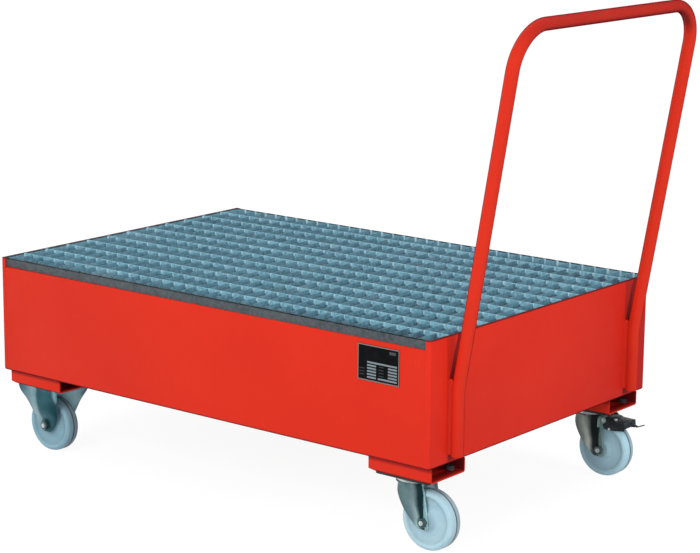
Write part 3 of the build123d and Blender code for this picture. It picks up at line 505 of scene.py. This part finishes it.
def label_black():
    mat = Material("label_black_anodised")
    base = mat.mix(mat.patches(scale=60, span=(0.3, 0.7)),
                   (0.003, 0.004, 0.005), (0.008, 0.008, 0.009))
    scratches = mat.patches(scale=420, detail=2, rough=0.5, stretch=(0.15, 1, 1),
                            span=(0.62, 0.72), to=(0.0, 0.30))
    base = mat.cover(base, scratches, colour=(0.022, 0.023, 0.024))
    return mat.finish(
        color=base, rough=mat.patches(scale=80, detail=3, span=(0.3, 0.7), to=(0.42, 0.55)),
        normal=mat.grain(scale=900, detail=2, rough=0.5, strength=0.08, depth=0.0002), spec=0.06)


def label_print(name, tone):
    mat = Material(name)
    base = mat.mix(mat.patches(scale=160, rough=0.65, span=(0.35, 0.7)),
                   tuple(channel * 0.86 for channel in tone), tone)
    return mat.finish(
        color=base, rough=mat.patches(scale=120, detail=3, span=(0.3, 0.7), to=(0.30, 0.44)),
        metal=0.1, spec=0.3,
        normal=mat.grain(scale=700, detail=2, rough=0.5, strength=0.10, depth=0.0002))


def ball_steel():
    mat = Material("ball_steel_greased")
    base = mat.mix(mat.noise(scale=200, detail=3), (0.35, 0.34, 0.30), (0.62, 0.62, 0.62))
    return mat.finish(
        color=base, rough=mat.patches(scale=300, detail=3, span=(0.3, 0.7), to=(0.12, 0.26)),
        metal=1.0,
        normal=mat.grain(scale=900, detail=2, rough=0.5, strength=0.05, depth=0.0001))


# ------------------------------------------------------------------ the materials
RED = red_paint("powder_coat_red")
RED_FOOT = red_paint("powder_coat_red_feet", top_layers=(foot_shade,))
# the handle's copy has less red, and the end plate's copy more red and less green: painted light and
# shade
RED_HANDLE = red_paint("powder_coat_red_handle", red=0.93, turn_mask=handle_turn_mask,
                       top_layers=(grip_shade,))
RED_WELD = red_paint("powder_coat_red_welds", edge_wear=0.25, turned_shade=0.10)
RED_END = red_paint("powder_coat_red_end", red=1.0, green=1.03,
                    layers=(handle_surroundings, rim_dark_lines))
RED_RIM = red_paint("powder_coat_red_front", layers=(rim_dark_lines,))

# painted light: the cross bars get a lighter copy of the zinc than the bearing bars, and the fillets
# a still lighter one as glints at the crossings
ZINC_BEARING = galvanised(
    "hot_dip_zinc_bearing", light=(0.18, 0.44, 0.56), dark=(0.085, 0.26, 0.345),
    metal=0.12, top=0.50, edge=(0.20, 0.42, 0.50), layer=bar_end_shadow)
ZINC_CROSS = galvanised(
    "hot_dip_zinc_cross", light=(0.32, 0.66, 0.79), dark=(0.16, 0.43, 0.55),
    metal=0.12, top=0.85, bloom=(0.42, 0.72, 0.82))
ZINC_FILLET = galvanised(
    "hot_dip_zinc_bright", light=(0.54, 0.86, 0.96), dark=(0.36, 0.68, 0.80),
    metal=0.03, rough=(0.34, 0.50), bloom=(0.60, 0.88, 0.97), spec=0.3)
ZINC_FRAME = galvanised(
    "hot_dip_zinc_edge", light=(0.105, 0.120, 0.128), dark=(0.068, 0.082, 0.090),
    metal=0.1, rough=(0.45, 0.62), edge=(0.10, 0.12, 0.125), bloom=(0.17, 0.185, 0.19),
    spec=0.2, layer=frame_zinc_and_shadow)

ZINC = zinc_plate("zinc_plated_steel", light=(0.52, 0.60, 0.62), dark=(0.36, 0.46, 0.49),
                  streak=(0.66, 0.72, 0.74), metal=0.6)
# the race rings' copy is near white: a painted highlight
ZINC_RACE = zinc_plate("zinc_plated_race", light=(0.86, 0.88, 0.88), dark=(0.66, 0.70, 0.71),
                       streak=(0.92, 0.93, 0.93), rough=(0.20, 0.30), metal=0.35)
# the swivel plates' copy is near black: painted shade
ZINC_SWIVEL_PLATE = zinc_plate(
    "zinc_plated_plate", light=(0.060, 0.055, 0.056), dark=(0.035, 0.032, 0.034),
    streak=(0.10, 0.10, 0.10), edge=(0.12, 0.12, 0.12), metal=0.3)

# painted reflection band stops: (position along the bands, tint)
RIGID_BANDS = (
    (0.05, (0.22, 0.34, 0.38)), (0.17, (0.50, 0.62, 0.66)), (0.30, (1.15, 1.12, 1.08)),
    (0.40, (0.85, 0.95, 0.95)), (0.46, (0.12, 0.30, 0.32)), (0.66, (0.15, 0.38, 0.40)),
    (0.84, (0.10, 0.28, 0.31)), (0.90, (0.9, 1.1, 1.1)))
SWIVEL_LEFT_BANDS = (
    (0.14, (0.16, 0.25, 0.25)), (0.26, (0.45, 0.54, 0.54)), (0.46, (0.80, 0.86, 0.86)),
    (0.60, (2.3, 2.1, 2.05)), (0.65, (1.1, 1.1, 1.1)), (0.685, (0.16, 0.30, 0.30)),
    (0.765, (0.12, 0.22, 0.22)), (0.785, (3.4, 3.3, 3.1)))
SWIVEL_RIGHT_BANDS = (
    (0.14, (0.10, 0.12, 0.12)), (0.28, (0.26, 0.30, 0.30)), (0.42, (1.0, 1.0, 0.96)),
    (0.55, (2.8, 2.7, 2.5)), (0.62, (1.0, 1.0, 1.0)), (0.66, (0.18, 0.18, 0.20)),
    (0.80, (0.14, 0.19, 0.20)), (0.84, (2.0, 2.45, 2.3)))
# the forks' copies of the plating differ in tone: painted light and shade
ZINC_RIGID = zinc_plate(
    "zinc_plated_fork_rigid", light=(0.30, 0.46, 0.52), dark=(0.20, 0.36, 0.42),
    streak=(0.42, 0.56, 0.60), rough=(0.28, 0.42), metal=0.7,
    bands=dict(start_x=FRONT_AXLE_X - 0.06, mid_y=LEFT_WHEEL_Y, lean=0.0, length=0.125,
               stops=RIGID_BANDS))
ZINC_SWIVEL_LEFT = zinc_plate(
    "zinc_plated_fork", light=(0.24, 0.36, 0.39), dark=(0.17, 0.28, 0.31),
    streak=(0.32, 0.44, 0.47), rough=(0.28, 0.42), metal=0.7,
    bands=dict(start_x=SWIVEL_X - 0.045, mid_y=LEFT_WHEEL_Y, lean=0.12, length=0.10,
               stops=SWIVEL_LEFT_BANDS))
ZINC_SWIVEL_RIGHT = zinc_plate(
    "zinc_plated_fork_braked", light=(0.24, 0.26, 0.25), dark=(0.17, 0.20, 0.19),
    streak=(0.30, 0.32, 0.31), rough=(0.26, 0.38), metal=0.7,
    bands=dict(start_x=SWIVEL_X - 0.045, mid_y=RIGHT_WHEEL_Y, lean=0.0, length=0.10,
               stops=SWIVEL_RIGHT_BANDS))
# a darkened copy of the plating for the castor bolts in the feet and the axle hexagons: painted
# shade
SHADED_FASTENER = zinc_plate(
    "zinc_plated_hexagon", light=(0.16, 0.24, 0.25), dark=(0.07, 0.12, 0.13),
    streak=(0.30, 0.36, 0.37), edge=(0.62, 0.72, 0.74), rough=(0.22, 0.36), metal=0.7)
BRIGHT_FASTENER = zinc_plate(
    "zinc_plated_fastener", light=(0.78, 0.84, 0.85), dark=(0.60, 0.68, 0.70),
    streak=(0.90, 0.93, 0.94), rough=(0.18, 0.30), metal=0.35)

# castor: middle plane, axle, dull and fair nylon colours; the tones differ by wheel as painted light
# and shade
WHEELS = {
    "front_left": (LEFT_WHEEL_Y, FRONT_AXLE_X, (0.255, 0.45, 0.54), (0.32, 0.52, 0.61)),
    "front_right": (RIGHT_WHEEL_Y, FRONT_AXLE_X, (0.48, 0.74, 0.84), (0.58, 0.82, 0.90)),
    "rear_left": (LEFT_WHEEL_Y, REAR_AXLE_X, (0.45, 0.67, 0.76), (0.54, 0.74, 0.82)),
    "rear_right": (RIGHT_WHEEL_Y, REAR_AXLE_X, (0.46, 0.75, 0.87), (0.54, 0.82, 0.93)),
}
NYLON = {corner: polyamide(f"polyamide_{corner}", *WHEELS[corner]) for corner in CORNERS}
BLACK = black_steel()
RUBBER = rubber()
LABEL = label_black()
SILVER = label_print("label_silver_print", (0.26, 0.32, 0.335))
BORDER_GREY = label_print("label_border_print", (0.30, 0.24, 0.22))
DIM_GREY = label_print("label_grey_print", (0.075, 0.085, 0.09))
BALL = ball_steel()


# ------------------------------------------------------------------ CAD pieces
EDGE_ANGLE = 32                          # degrees; sharper edges are bevelled and stay sharp


def smooth_by_angle(degrees):
    """Geometry nodes: smooth faces, with edges above the angle kept sharp."""
    group = bpy.data.node_groups.new(f"smooth_by_angle_{degrees}", "GeometryNodeTree")
    for way in ("INPUT", "OUTPUT"):
        group.interface.new_socket("Geometry", in_out=way, socket_type="NodeSocketGeometry")
    add, link = group.nodes.new, group.links.new
    start = add("NodeGroupInput")
    end = add("NodeGroupOutput")
    faces = add("GeometryNodeSetShadeSmooth")
    edges = add("GeometryNodeSetShadeSmooth")
    faces.domain = "FACE"
    edges.domain = "EDGE"
    faces.inputs["Shade Smooth"].default_value = True
    edges.inputs["Shade Smooth"].default_value = False
    angle = add("GeometryNodeInputMeshEdgeAngle")
    compare = add("FunctionNodeCompare")
    compare.data_type = "FLOAT"
    compare.operation = "GREATER_THAN"
    compare.inputs[1].default_value = math.radians(degrees)
    link(angle.outputs["Unsigned Angle"], compare.inputs[0])
    link(start.outputs[0], faces.inputs["Geometry"])
    link(faces.outputs[0], edges.inputs["Geometry"])
    link(compare.outputs[0], edges.inputs["Selection"])
    link(edges.outputs[0], end.inputs[0])
    return group


SMOOTH = smooth_by_angle(EDGE_ANGLE)


def finish_node(name, material, bevel_mm, segments=2):
    """Material and softened edges for one CAD piece."""
    if name not in NODES:                # a frame may lack a piece
        return
    piece = NODES[name]
    mesh = piece.data
    for attribute in ("custom_normal", "sharp_edge", "sharp_face"):
        if attribute in mesh.attributes:
            mesh.attributes.remove(mesh.attributes[attribute])
    mesh.materials.clear()
    mesh.materials.append(material)
    weld = piece.modifiers.new("weld", "WELD")
    weld.merge_threshold = 0.000004
    if bevel_mm:
        bevel = piece.modifiers.new("bevel", "BEVEL")
        bevel.width = bevel_mm * MM
        bevel.segments = segments
        bevel.limit_method = "ANGLE"
        bevel.angle_limit = math.radians(EDGE_ANGLE)
        bevel.use_clamp_overlap = True
    piece.modifiers.new("smooth", "NODES").node_group = SMOOTH


# names, material, bevel width in mm
FINISHES = (
    (("sump_trough", "front_end_plate"), RED_RIM, 0.5),
    (("rear_end_plate",), RED_END, 0.5),
    ([f"foot_{corner}" for corner in CORNERS], RED_FOOT, 0.5),
    (("handle_tube",), RED_HANDLE, 0.4),
    (("id_plate",), LABEL, 0.25),
    (("grating_frame",), ZINC_FRAME, 0.5),
    (("castor_bolts", "castor_washers"), SHADED_FASTENER, 0.3),
    (("brake_rivets", "brake_top_bolt"), BRIGHT_FASTENER, 0.3),
    (("rigid_fork_front_left", "rigid_fork_front_right"), ZINC_RIGID, 0.7),
    (("swivel_fork_rear_left",), ZINC_SWIVEL_LEFT, 0.7),
    (("swivel_fork_rear_right",), ZINC_SWIVEL_RIGHT, 0.7),
    (("swivel_plate_rear_left", "swivel_plate_rear_right"), ZINC_SWIVEL_PLATE, 0.4),
    (("race_ring_rear_left", "race_ring_rear_right"), ZINC_RACE, 0.4),
    (("kingpins", "kingpin_nuts", "brake_pin"), BRIGHT_FASTENER, 0.3),
    (("race_balls_rear_left", "race_balls_rear_right"), BALL, 0),
    (("brake_pedal",), BLACK, 0.5),
    (("brake_release_tab",), BLACK, 0.3),
    (("brake_shoe",), RUBBER, 0.5),
)
for names, material, bevel_mm in FINISHES:
    for name in names:
        finish_node(name, material, bevel_mm)
finish_node("grating_bearing_bars", ZINC_BEARING, 0.3, segments=1)
finish_node("grating_cross_bars", ZINC_CROSS, 0.3, segments=1)
for corner in CORNERS:
    finish_node(f"wheel_{corner}", NYLON[corner], 0)
    finish_node(f"axle_sleeve_{corner}", ZINC, 0.2)
    finish_node(f"axle_bolt_{corner}", SHADED_FASTENER, 0.35)
    finish_node(f"axle_nut_{corner}", SHADED_FASTENER, 0.35)


# ------------------------------------------------------------------ mesh helpers
def add_mesh(name, mesh, material, body, smooth=True):
    data = bpy.data.meshes.new(name)
    bmesh.ops.recalc_face_normals(mesh, faces=mesh.faces)
    mesh.to_mesh(data)
    mesh.free()
    data.materials.append(material)
    if smooth:
        data.polygons.foreach_set("use_smooth", [True] * len(data.polygons))
    piece = bpy.data.objects.new(name, data)
    scene.collection.objects.link(piece)
    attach(piece, body)


def loft(mesh, rings):
    """Join each closed ring of vertices to the next."""
    for ring, following in zip(rings, rings[1:]):
        count = len(ring)
        for i in range(count):
            j = (i + 1) % count
            mesh.faces.new((ring[i], ring[j], following[j], following[i]))


rng = random.Random(7)


# ------------------------------------------------------------------ welds
def handle_weld_beads():
    """Concave fillets between the rear end plate and both sides of each handle leg."""
    tube_radius = 13.45 * MM
    fillet = 4.0 * MM
    step = 2.5 * MM
    arc_steps = 6
    bulge = 0.9 * MM                     # pushed outward so that it reads as laid weld metal
    sink = 0.4 * MM                      # how far the back lies inside the wall
    lean_start_z, lean_slope = 0.333, 0.066

    wall_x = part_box("rear_end_plate")[1].x
    tube_low, tube_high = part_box("handle_tube")
    leg_y = tube_high.y - tube_radius
    # in section, "out" leaves the wall and "across" runs from the leg's centre line
    reach = 2.0 * math.sqrt(tube_radius * fillet)
    both_radii = tube_radius + fillet
    touch_out = fillet + fillet * (tube_radius - fillet) / both_radii
    touch_across = -reach + fillet * reach / both_radii
    start_angle = math.pi
    end_angle = math.atan2(touch_across + reach, touch_out - fillet)
    centre_out, centre_across = 2.0 * MM, -reach * 0.72     # the ends shrink towards here

    heights = []
    z = tube_low.z + 2.0 * MM
    while z < WELD_TOP_Z:
        heights.append(z)
        z += step
    heights.append(WELD_TOP_Z)

    mesh = bmesh.new()
    for side in (-1, 1):
        for flank in (-1, 1):
            rings = []
            for i, z in enumerate(heights):
                lean = max(0.0, z - lean_start_z) * lean_slope
                end = min(1.0, (z - heights[0]) / (3 * MM), (WELD_TOP_Z - z) / (5 * MM))
                grow = 0.30 + 0.70 * math.sqrt(max(0.0, 1 - (1 - end) ** 2))
                wave = 1.0 + 0.035 * math.sin(i * 2.1) + rng.uniform(-0.02, 0.02)
                profile = []
                for j in range(arc_steps + 1):
                    angle = start_angle + (end_angle - start_angle) * j / arc_steps
                    out = fillet + fillet * math.cos(angle)
                    across = -reach + fillet * math.sin(angle)
                    across -= bulge * math.sin(math.pi * j / arc_steps) * wave
                    profile.append((out + lean * j / arc_steps, across))
                profile += [(profile[-1][0] + 0.5 * MM, -reach * 0.62),
                            (-sink, -reach * 0.40), (-sink, -reach)]
                ring = []
                for out, across in profile:
                    out = centre_out + (out - centre_out) * grow
                    across = centre_across + (across - centre_across) * grow
                    ring.append(mesh.verts.new((wall_x + out, side * leg_y - flank * across, z)))
                rings.append(ring)
            loft(mesh, rings)
            mesh.faces.new(rings[0])
            mesh.faces.new(rings[-1])
    add_mesh("handle_weld_beads", mesh, RED_WELD, "chassis")


def weld_bead(mesh, start, end, radius, step=1.6 * MM, sides=10, wobble=0.07):
    """A straight rippled weld bead: a closed tube with rounded ends."""
    start, end = Vector(start), Vector(end)
    length = (end - start).length
    along = (end - start).normalized()
    side = along.orthogonal().normalized()
    up = along.cross(side)
    count = max(4, int(length / step))
    rings = []
    for i in range(count + 1):
        centre = start + along * (length * i / count)
        from_end = min(1.0, min(i, count - i) / 3.0)
        cap = math.sqrt(max(0.02, 1 - (1 - from_end) ** 2))
        ripple = 1.0 + 1.4 * wobble * math.sin(i * 1.9) + rng.uniform(-wobble, wobble)
        size = radius * cap * ripple
        ring = []
        for j in range(sides):
            angle = 2 * math.pi * j / sides
            ring.append(mesh.verts.new(
                centre + side * (math.cos(angle) * size) + up * (math.sin(angle) * size)))
        rings.append(ring)
    loft(mesh, rings)
    mesh.faces.new(list(reversed(rings[0])))
    mesh.faces.new(rings[-1])


def foot_weld_beads():
    """Two beads along the top of each foot's -Y and +Y sides."""
    radius, outside, sink = 2.1 * MM, 0.2 * MM, 0.4 * MM
    near, far = 6 * MM, 52 * MM          # a bead's ends, from the foot's ends
    mesh = bmesh.new()
    for corner in CORNERS:
        low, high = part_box(f"foot_{corner}")
        z = high.z - sink
        for y in (low.y - outside, high.y + outside):
            for x0, x1 in ((low.x + near, low.x + far), (high.x - far, high.x - near)):
                weld_bead(mesh, (x0, y, z), (x1, y, z), radius)
    add_mesh("foot_weld_beads", mesh, RED, "chassis")


handle_weld_beads()
foot_weld_beads()


# ------------------------------------------------------------------ axle bolt ends
def axle_bolt_end(corner, body, radius=5.2 * MM, out=2.2 * MM, sides=20):
    """Domed bolt end standing out of the hexagon on the -Y end of an axle."""
    low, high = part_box(f"axle_bolt_{corner}")
    face_y = min(low.y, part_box(f"axle_nut_{corner}")[0].y)
    x, z = (low.x + high.x) / 2, (low.z + high.z) / 2
    # ring radius, distance out of the hexagon
    profile = ((radius, -0.4 * MM), (radius, out * 0.55), (radius * 0.86, out * 0.86),
               (radius * 0.5, out))
    mesh = bmesh.new()
    rings = []
    for size, height in profile:
        ring = []
        for i in range(sides):
            angle = 2 * math.pi * i / sides
            ring.append(mesh.verts.new(
                (x + size * math.cos(angle), face_y - height, z + size * math.sin(angle))))
        rings.append(ring)
    loft(mesh, rings)
    mesh.faces.new(rings[0])
    mesh.faces.new(rings[-1])
    add_mesh(f"axle_bolt_end_{corner}", mesh, BRIGHT_FASTENER, body)


for corner, body in zip(CORNERS, ("chassis", "chassis", "swivel_left", "swivel_right")):
    axle_bolt_end(corner, body)

# ------------------------------------------------------------------ zinc on the grating
GRATING_LOW, GRATING_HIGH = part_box("grating_frame")
GRATING_X = (GRATING_LOW.x + GRATING_HIGH.x) / 2
PITCH_X, PITCH_Y = 1.2 / 36, 0.8 / 12    # bearing bars repeat along X, cross bars along Y
BEARINGS, CROSSES = range(-17, 18), range(-5, 6)
TUCK = 0.96                              # fillets start slightly inside the bars
BEARING_HALF = 2.5 * MM / 2
CROSS_HALF = 2.0 * MM / 2
FRAME_INSET = 3.2 * MM                   # inner face of the edge frame


def corner_fillet(mesh, x, y, side_x, side_y, z0, z1, radius):
    """A small concave fillet standing in one corner."""
    profile = ((0, 0), (radius, 0), (radius * 0.42, radius * 0.18),
               (radius * 0.18, radius * 0.42), (0, radius))
    lower, upper = [[mesh.verts.new((x + side_x * across, y + side_y * along, z))
                     for across, along in profile] for z in (z0, z1)]
    loft(mesh, (lower, upper))
    mesh.faces.new(list(reversed(lower)))
    mesh.faces.new(upper)


def crossing_fillets():
    """Zinc pooled in the four corners of every crossing."""
    mesh = bmesh.new()
    for i in BEARINGS:
        for j in CROSSES:
            for side_x in (-1, 1):
                for side_y in (-1, 1):
                    radius = rng.uniform(2.0, 3.2) * MM
                    bottom = GRATING_HIGH.z - rng.uniform(6.0, 8.0) * MM
                    top = GRATING_HIGH.z - rng.uniform(0.1, 0.5) * MM
                    corner_fillet(mesh, GRATING_X + i * PITCH_X + side_x * BEARING_HALF * TUCK,
                                  j * PITCH_Y + side_y * CROSS_HALF * TUCK,
                                  side_x, side_y, bottom, top, radius)
    add_mesh("grating_zinc_fillets", mesh, ZINC_FILLET, "grating", smooth=False)


def frame_welds():
    """Welds joining the bar ends to the edge frame."""
    top = GRATING_HIGH.z - 0.3 * MM
    bearing_bottom = GRATING_LOW.z + 3 * MM
    cross_bottom = GRATING_HIGH.z - 9.8 * MM
    mesh = bmesh.new()
    for i in BEARINGS:
        for end in (-1, 1):
            x = GRATING_X + i * PITCH_X
            y = end * (GRATING_HIGH.y - FRAME_INSET)
            for side in (-1, 1):
                corner_fillet(mesh, x + side * BEARING_HALF * TUCK, y, side, -end,
                              bearing_bottom, top, rng.uniform(2.6, 3.6) * MM)
    for j in CROSSES:
        for end in (-1, 1):
            x = GRATING_X + end * ((GRATING_HIGH.x - GRATING_LOW.x) / 2 - FRAME_INSET)
            for side in (-1, 1):
                corner_fillet(mesh, x, j * PITCH_Y + side * CROSS_HALF * TUCK, -end, side,
                              cross_bottom, top, rng.uniform(2.6, 3.6) * MM)
    add_mesh("grating_frame_welds", mesh, ZINC_FILLET, "grating", smooth=False)


crossing_fillets()
frame_welds()

# ------------------------------------------------------------------ rating plate, facing -Y
LABEL_LOW, LABEL_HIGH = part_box("id_plate")
LABEL_Y = LABEL_LOW.y
PRINT_SINK = 0.2 * MM                    # print starts this far inside the plate
ROW_HEIGHT, ROW_PITCH = 3.5 * MM, 6.1 * MM


def rectangle(mesh, x0, x1, z0, z1, y, inset=0.0):
    """Four vertices of an upright rectangle."""
    x0, x1, z0, z1 = x0 + inset, x1 - inset, z0 + inset, z1 - inset
    return [mesh.verts.new(place) for place in ((x0, y, z0), (x1, y, z0), (x1, y, z1), (x0, y, z1))]


def pad(mesh, x0, x1, z0, z1, rise=0.18 * MM, chamfer=0.12 * MM):
    """A low pad with a chamfered edge, standing on the plate's face."""
    top_y = LABEL_Y - rise
    lower = rectangle(mesh, x0, x1, z0, z1, LABEL_Y + PRINT_SINK)
    middle = rectangle(mesh, x0, x1, z0, z1, top_y + chamfer)
    top = rectangle(mesh, x0, x1, z0, z1, top_y, chamfer)
    loft(mesh, (lower, middle, top))
    mesh.faces.new(list(reversed(lower)))
    mesh.faces.new(top)


def label_bar(mesh, left_mm, right_mm, z0, z1):
    """A pad between two distances from the plate's left (-X) edge."""
    pad(mesh, LABEL_LOW.x + left_mm * MM, LABEL_LOW.x + right_mm * MM, z0, z1)


def label_border(margin=0.4 * MM, width=2.0 * MM, rise=0.16 * MM):
    """A closed rectangular frame round the plate's face."""
    mesh = bmesh.new()
    outline = (LABEL_LOW.x + margin, LABEL_HIGH.x - margin,
               LABEL_LOW.z + margin, LABEL_HIGH.z - margin)
    sunk, raised = LABEL_Y + PRINT_SINK, LABEL_Y - rise
    loops = [rectangle(mesh, *outline, y, inset)
             for inset, y in ((0, sunk), (0, raised), (width, raised), (width, sunk))]
    loft(mesh, loops + loops[:1])
    add_mesh("label_border", mesh, BORDER_GREY, "chassis", smooth=False)


def label_table_bars():
    """Six rows of blank bars, counted from the bottom."""
    split_row = ((24, 46.5), (76, 98))
    rows = (((24, 46.5), (51, 98)), split_row, split_row, split_row, split_row, ((24, 98),))
    mesh = bmesh.new()
    for i, bars in enumerate(rows):
        z = LABEL_LOW.z + 6.2 * MM + i * ROW_PITCH
        for left, right in bars:
            label_bar(mesh, left, right, z, z + ROW_HEIGHT)
    add_mesh("label_table_bars", mesh, SILVER, "chassis", smooth=False)


def label_small_bars():
    """Thin bars between the columns and at the left, and a block at the top right."""
    mesh = bmesh.new()
    for i in range(1, 5):
        z = LABEL_LOW.z + 7.4 * MM + i * ROW_PITCH
        label_bar(mesh, 53, 65, z, z + 1.3 * MM)
        if i < 4:
            label_bar(mesh, 5, 18, z - 2 * MM, z - 0.9 * MM)
    pad(mesh, LABEL_HIGH.x - 25 * MM, LABEL_HIGH.x - 9 * MM,
        LABEL_HIGH.z - 12.5 * MM, LABEL_HIGH.z - 6.5 * MM)
    add_mesh("label_small_bars", mesh, DIM_GREY, "chassis", smooth=False)


label_border()
label_table_bars()
label_small_bars()

# ------------------------------------------------------------------ floor and world
DARK_AXIS = (0.276, -0.961, 0.0)         # middle of the studio's dark sector, on the camera side
DIM_AXIS = (0.80, 0.60, 0.0)             # middle of its half-dim sector


def studio_tone(nodes, direction):
    """Brightness of the studio as seen in reflections, by level direction."""
    flat = nodes.vector("MULTIPLY", direction, (1, 1, 0))["Vector"]
    unit = nodes.vector("NORMALIZE", flat)["Vector"]
    dark = nodes.ramp(nodes.vector("DOT_PRODUCT", unit, DARK_AXIS)["Value"],
                      (0.50, (1.0, 1.0, 1.0)), (0.70, (0.085, 0.105, 0.115)))
    dim = nodes.ramp(nodes.vector("DOT_PRODUCT", unit, DIM_AXIS)["Value"],
                     (0.15, (1.0, 1.0, 1.0)), (0.80, (0.42, 0.44, 0.46)))
    return nodes.tinted(dark, dim)


def emission(mat, colour, strength):
    node = mat.new("ShaderNodeEmission")
    mat.put(node.inputs["Color"], colour)
    mat.put(node.inputs["Strength"], strength)
    return node.outputs[0]


def floor_material():
    """White paper: pale shadows to the camera, the studio's own tone in reflections."""
    mat = Material("pale_floor")
    paper_tone = mat.mix(mat.noise(scale=0.8, detail=3, rough=0.5),
                         (0.90, 0.90, 0.905), (0.93, 0.93, 0.93))
    mat.finish(color=paper_tone, rough=0.85, spec=0.1)
    paper = mat.principled.outputs[0]
    ray = mat.new("ShaderNodeLightPath").outputs
    glow = emission(mat, (1.0, 1.0, 1.0), strength=1.12)
    lit_through = mat.mix_shaders(0.82, paper, glow)
    surface = mat.mix_shaders(ray["Is Camera Ray"], paper, lit_through)

    geometry = mat.new("ShaderNodeNewGeometry").outputs
    reverse = mat.new("ShaderNodeVectorMath", operation="SCALE")
    mat.put(reverse.inputs["Scale"], -1.0)
    mat.put(reverse.inputs[0], geometry["Incoming"])
    mirror = emission(mat, studio_tone(mat, reverse.outputs["Vector"]), strength=0.85)
    surface = mat.mix_shaders(ray["Is Glossy Ray"], surface, mirror)

    # little light comes back from under the tray
    dim = mat.new("ShaderNodeBsdfDiffuse")
    mat.put(dim.inputs["Color"], (0.72, 0.73, 0.74))
    surface = mat.mix_shaders(ray["Is Diffuse Ray"], surface, dim.outputs[0])

    # seen from below, the paper is not there
    clear = mat.new("ShaderNodeBsdfTransparent").outputs[0]
    below = mat.times(geometry["Backfacing"], ray["Is Camera Ray"])
    surface = mat.mix_shaders(below, surface, clear)
    mat.put(mat.tree.nodes["Material Output"].inputs["Surface"], surface)
    return mat.material


def add_floor():
    mesh = bmesh.new()
    bmesh.ops.create_grid(mesh, x_segments=2, y_segments=2, size=60.0)
    data = bpy.data.meshes.new("floor")
    mesh.to_mesh(data)
    mesh.free()
    floor = bpy.data.objects.new("floor", data)
    floor.location = (0, 0, -0.5 * MM)
    scene.collection.objects.link(floor)
    data.materials.append(floor_material())


def add_world():
    """White to the camera, the studio's tone in reflections, soft grey light elsewhere."""
    world = bpy.data.worlds.new("studio")
    scene.world = world
    world.use_nodes = True
    nodes = Nodes(world.node_tree)
    tone = studio_tone(nodes, nodes.new("ShaderNodeTexCoord").outputs["Generated"])
    ray = nodes.new("ShaderNodeLightPath").outputs
    shade = nodes.mix(ray["Is Glossy Ray"], (0.58, 0.595, 0.61), tone)
    background = nodes.tree.nodes["Background"]
    nodes.put(background.inputs["Color"],
              nodes.mix(ray["Is Camera Ray"], shade, (1.0, 1.0, 1.0)))
    nodes.put(background.inputs["Strength"], 1.0)


# ------------------------------------------------------------------ lights and camera
# name, place, target, size, watts
LIGHTS = (
    ("key", (0.46, -4.8, 2.9), (0, 0, 0.3), (2.0, 2.0), 104),
    ("front", (3.2, -3.4, 1.9), (0.3, -0.2, 0.4), (1.2, 1.2), 17),
    ("fill", (4.1, 0.55, 1.6), (0.3, 0, 0.3), (0.5, 0.7), 32),
    ("top", (-0.6, 0.8, 4.2), (0, 0, 0.3), (3.0, 2.2), 26),
)


def add_light(name, place, target, size, power):
    """A rectangular light that is not seen in reflections."""
    data = bpy.data.lights.new(name, "AREA")
    data.shape = "RECTANGLE"
    data.size, data.size_y = size
    data.energy = power
    light = bpy.data.objects.new(name, data)
    light.location = place
    light.rotation_mode = "QUATERNION"
    light.rotation_quaternion = (Vector(target) - Vector(place)).to_track_quat("-Z", "Y")
    scene.collection.objects.link(light)
    light.visible_glossy = False


def add_camera():
    """Looks at the tray's rear left corner from a little above."""
    place = (2.9867, -3.7579, 1.4867)
    azimuth, elevation, roll = (math.radians(angle) for angle in (38.4001, 12.4015, 0.5295))
    data = bpy.data.cameras.new("camera")
    camera = bpy.data.objects.new("camera", data)
    scene.collection.objects.link(camera)
    back = Vector((math.sin(azimuth) * math.cos(elevation),
                   -math.cos(azimuth) * math.cos(elevation), math.sin(elevation)))
    level = Vector((math.cos(azimuth), math.sin(azimuth), 0))
    upright = back.cross(level)
    right = math.cos(roll) * level + math.sin(roll) * upright
    up = -math.sin(roll) * level + math.cos(roll) * upright
    rows = [(right[i], up[i], back[i], place[i]) for i in range(3)]
    camera.matrix_world = Matrix((*rows, (0, 0, 0, 1)))
    data.sensor_width = 36.0
    data.lens = 114.7474286
    data.clip_end = 200.0
    scene.camera = camera


add_floor()
for light in LIGHTS:
    add_light(*light)
add_world()
add_camera()
scene.view_settings.view_transform = "Standard"
scene.view_settings.look = "None"
